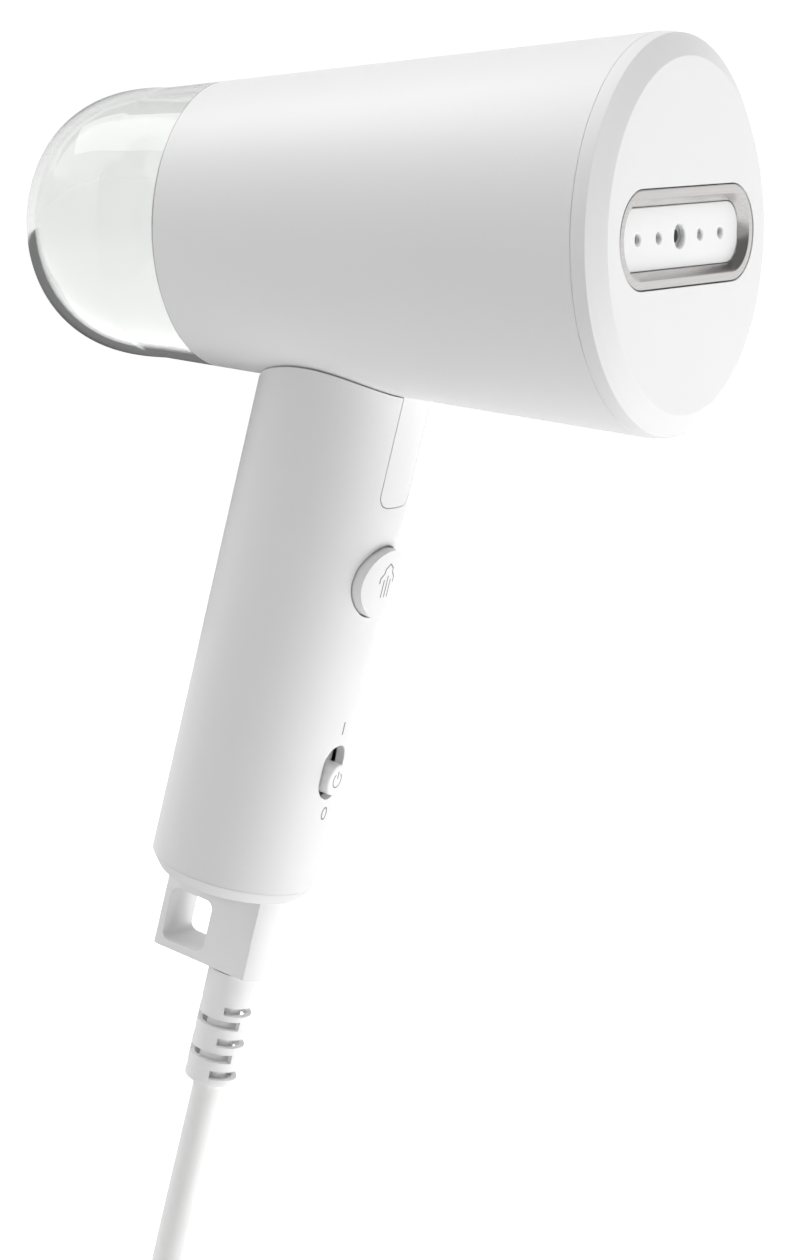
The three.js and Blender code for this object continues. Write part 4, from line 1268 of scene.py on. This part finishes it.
def handle_top_cap():
    """Closes the handle under the head, with pockets for the tongue and the knuckle."""
    cap_radius = HANDLE_RADIUS - HANDLE_WALL - GAP
    cap = turned("handle_top_cap_visual", down, rod(25, TOP_CAP_END, cap_radius), FINE)
    inner_face = HANDLE_RADIUS - TONGUE_THICKNESS
    behind = math.sqrt(inner_face**2 - TONGUE_HALF**2) - GAP
    swing = behind - PIN_FORWARD
    pocket = [Vector((30, -20))]
    for degrees in range(40, -1, -2):
        angle = math.radians(degrees)
        pocket.append(Vector((PIN_FORWARD + swing * math.cos(angle), -PIN_DROP + swing * math.sin(angle))))
    pocket += [Vector((behind, -TONGUE_END - 0.6)), Vector((30, -TONGUE_END - 0.6))]
    cut(
        cap,
        head_envelope(0.9, 0.3),
        prism("pocket", side_plane, pocket, -TONGUE_HALF - 0.4, TONGUE_HALF + 0.4),
        handle_block((-25, -9.9), (-20, 20), (-20, 48.3)),
        pin_drum(GAP),
        handle_block((-12, -2.7), (-5.3, 5.3), (47.2, 48.3)),
        turned("inside", down, rod(50, TOP_CAP_END + 1, HANDLE_RADIUS - 5), MEDIUM),
    )
    return place(cap, HANDLE, "handle", "white_handle", ["handle_top_cap"])


def slot_cutter(drop, start, end):
    """A block of a ring between two angles, in degrees from the front, at a drop."""
    inner, outer, half = SLEEVE_BORE + 0.05, 8, 1.0
    count = 24
    rings = []
    for i in range(count + 1):
        angle = math.radians(start + (end - start) * i / count)
        c, s = math.cos(angle), math.sin(angle)
        ring = []
        for radius, z in ((inner, half), (outer, half), (outer, -half), (inner, -half)):
            ring.append((SLEEVE_FORWARD + radius * c, radius * s, -drop + z))
        rings.append(ring)
    return skin("slot", rings)


def strain_relief():
    """A sleeve moulded round the lead, with slots cut across it."""
    outline = soften(
        [
            (145.5, 4.3),
            (145.5, 7),
            (147.5, 7),
            (147.5, 4.35),
            (SLEEVE_TOP, 4.35),
            (SLEEVE_TOP, SLEEVE_RADIUS),
            (SLEEVE_END, SLEEVE_RADIUS, 1.0),
            (SLEEVE_END, SLEEVE_BORE),
            (SLEEVE_END - 1, SLEEVE_BORE),
            (SLEEVE_END - 1, SLEEVE_HOLLOW),
            (177, SLEEVE_HOLLOW),
            (175, SLEEVE_BORE),
            (174, SLEEVE_BORE),
            (174, 3.0),
            (145.5, 3.0),
        ],
        closed=True,
    )
    sleeve = shifted(turned("strain_relief_visual", down, outline, MEDIUM), SLEEVE_FORWARD, 0, 0)
    slots = []
    for drop in SLEEVE_SLOTS[::2]:
        slots.append(slot_cutter(drop, -64, 64))
        slots.append(slot_cutter(drop, 140, 220))
    for drop in SLEEVE_SLOTS[1::2]:
        slots.append(slot_cutter(drop, 21, 159))
        slots.append(slot_cutter(drop, -159, -21))
    cut(sleeve, *slots)
    return place(sleeve, HANDLE, "handle", "soft_white", ["strain_relief"])


handle_shell()
trigger_button()
power_slider()
end_cap()
hanging_loop()
strain_relief()
handle_top_cap()
on_off_marks()
power_symbol()
steam_symbol()


# ---------- the plug ----------
def plug_body():
    """An earthed round plug: a cone behind a round face, with side slots for the earth contacts."""
    body = turned(
        "plug_body_visual",
        forward,
        soften(
            [
                (0, 0),
                (0, 4.6, 0.6),
                (16, 6.4, 2),
                (18, 11, 2),
                (26, 14.5, 4),
                (PLUG_COLLAR, 16.8, 0.4),
                (PLUG_COLLAR + 1.5, PLUG_RADIUS, 0.6),
                (PLUG_LENGTH, PLUG_RADIUS, 0.7),
                (PLUG_LENGTH, 0),
            ]
        ),
        MEDIUM,
    )
    beyond = PLUG_LENGTH + 1
    cutters = []
    for side in (-1, 1):
        middle = side * EARTH_SIDE
        outline = rectangle(PLUG_COLLAR + 4, beyond, middle - 3.5, middle + 3.5)
        cutters.append(prism("slot", side_plane, outline, -4, 4))
        at = (0, side * PLUG_PIN_SIDE, 0)
        cutters.append(drill(forward, PLUG_LENGTH - 6, beyond, PLUG_PIN_RADIUS + 0.15, at))
    cutters.append(drill(forward, PLUG_LENGTH - 15, beyond, 2.6, (0, 0, 9)))
    cut(body, *cutters)
    return place(body, PLUG, "handle", "soft_white", ["plug_body"])


def plug_pin(side, word):
    """A round pin with a rounded end, held 5.5 mm deep in the plug."""
    radius = PLUG_PIN_RADIUS
    start = PLUG_LENGTH - 5.5
    outline = soften([(start, 0), (start, radius), (PLUG_PIN_END, radius, 1.5), (PLUG_PIN_END, 0)])
    pin = turned(f"plug_pin_{word}_visual", forward, outline, SMALL)
    shifted(pin, 0, side * PLUG_PIN_SIDE, 0)
    return place(pin, PLUG, "handle", "brass", [f"plug_pin_{word}"])


plug = plug_body()
pins = [plug_pin(side, word) for side, word in ((-1, "right"), (1, "left"))]

# ---------- the CAD nodes that stay ----------
for part in frame["record"]["subparts"]:
    node = frame["nodes"][part["node"]]
    node.data.materials.clear()
    node.data.materials.append(FINISHES[part["material_slot"]])
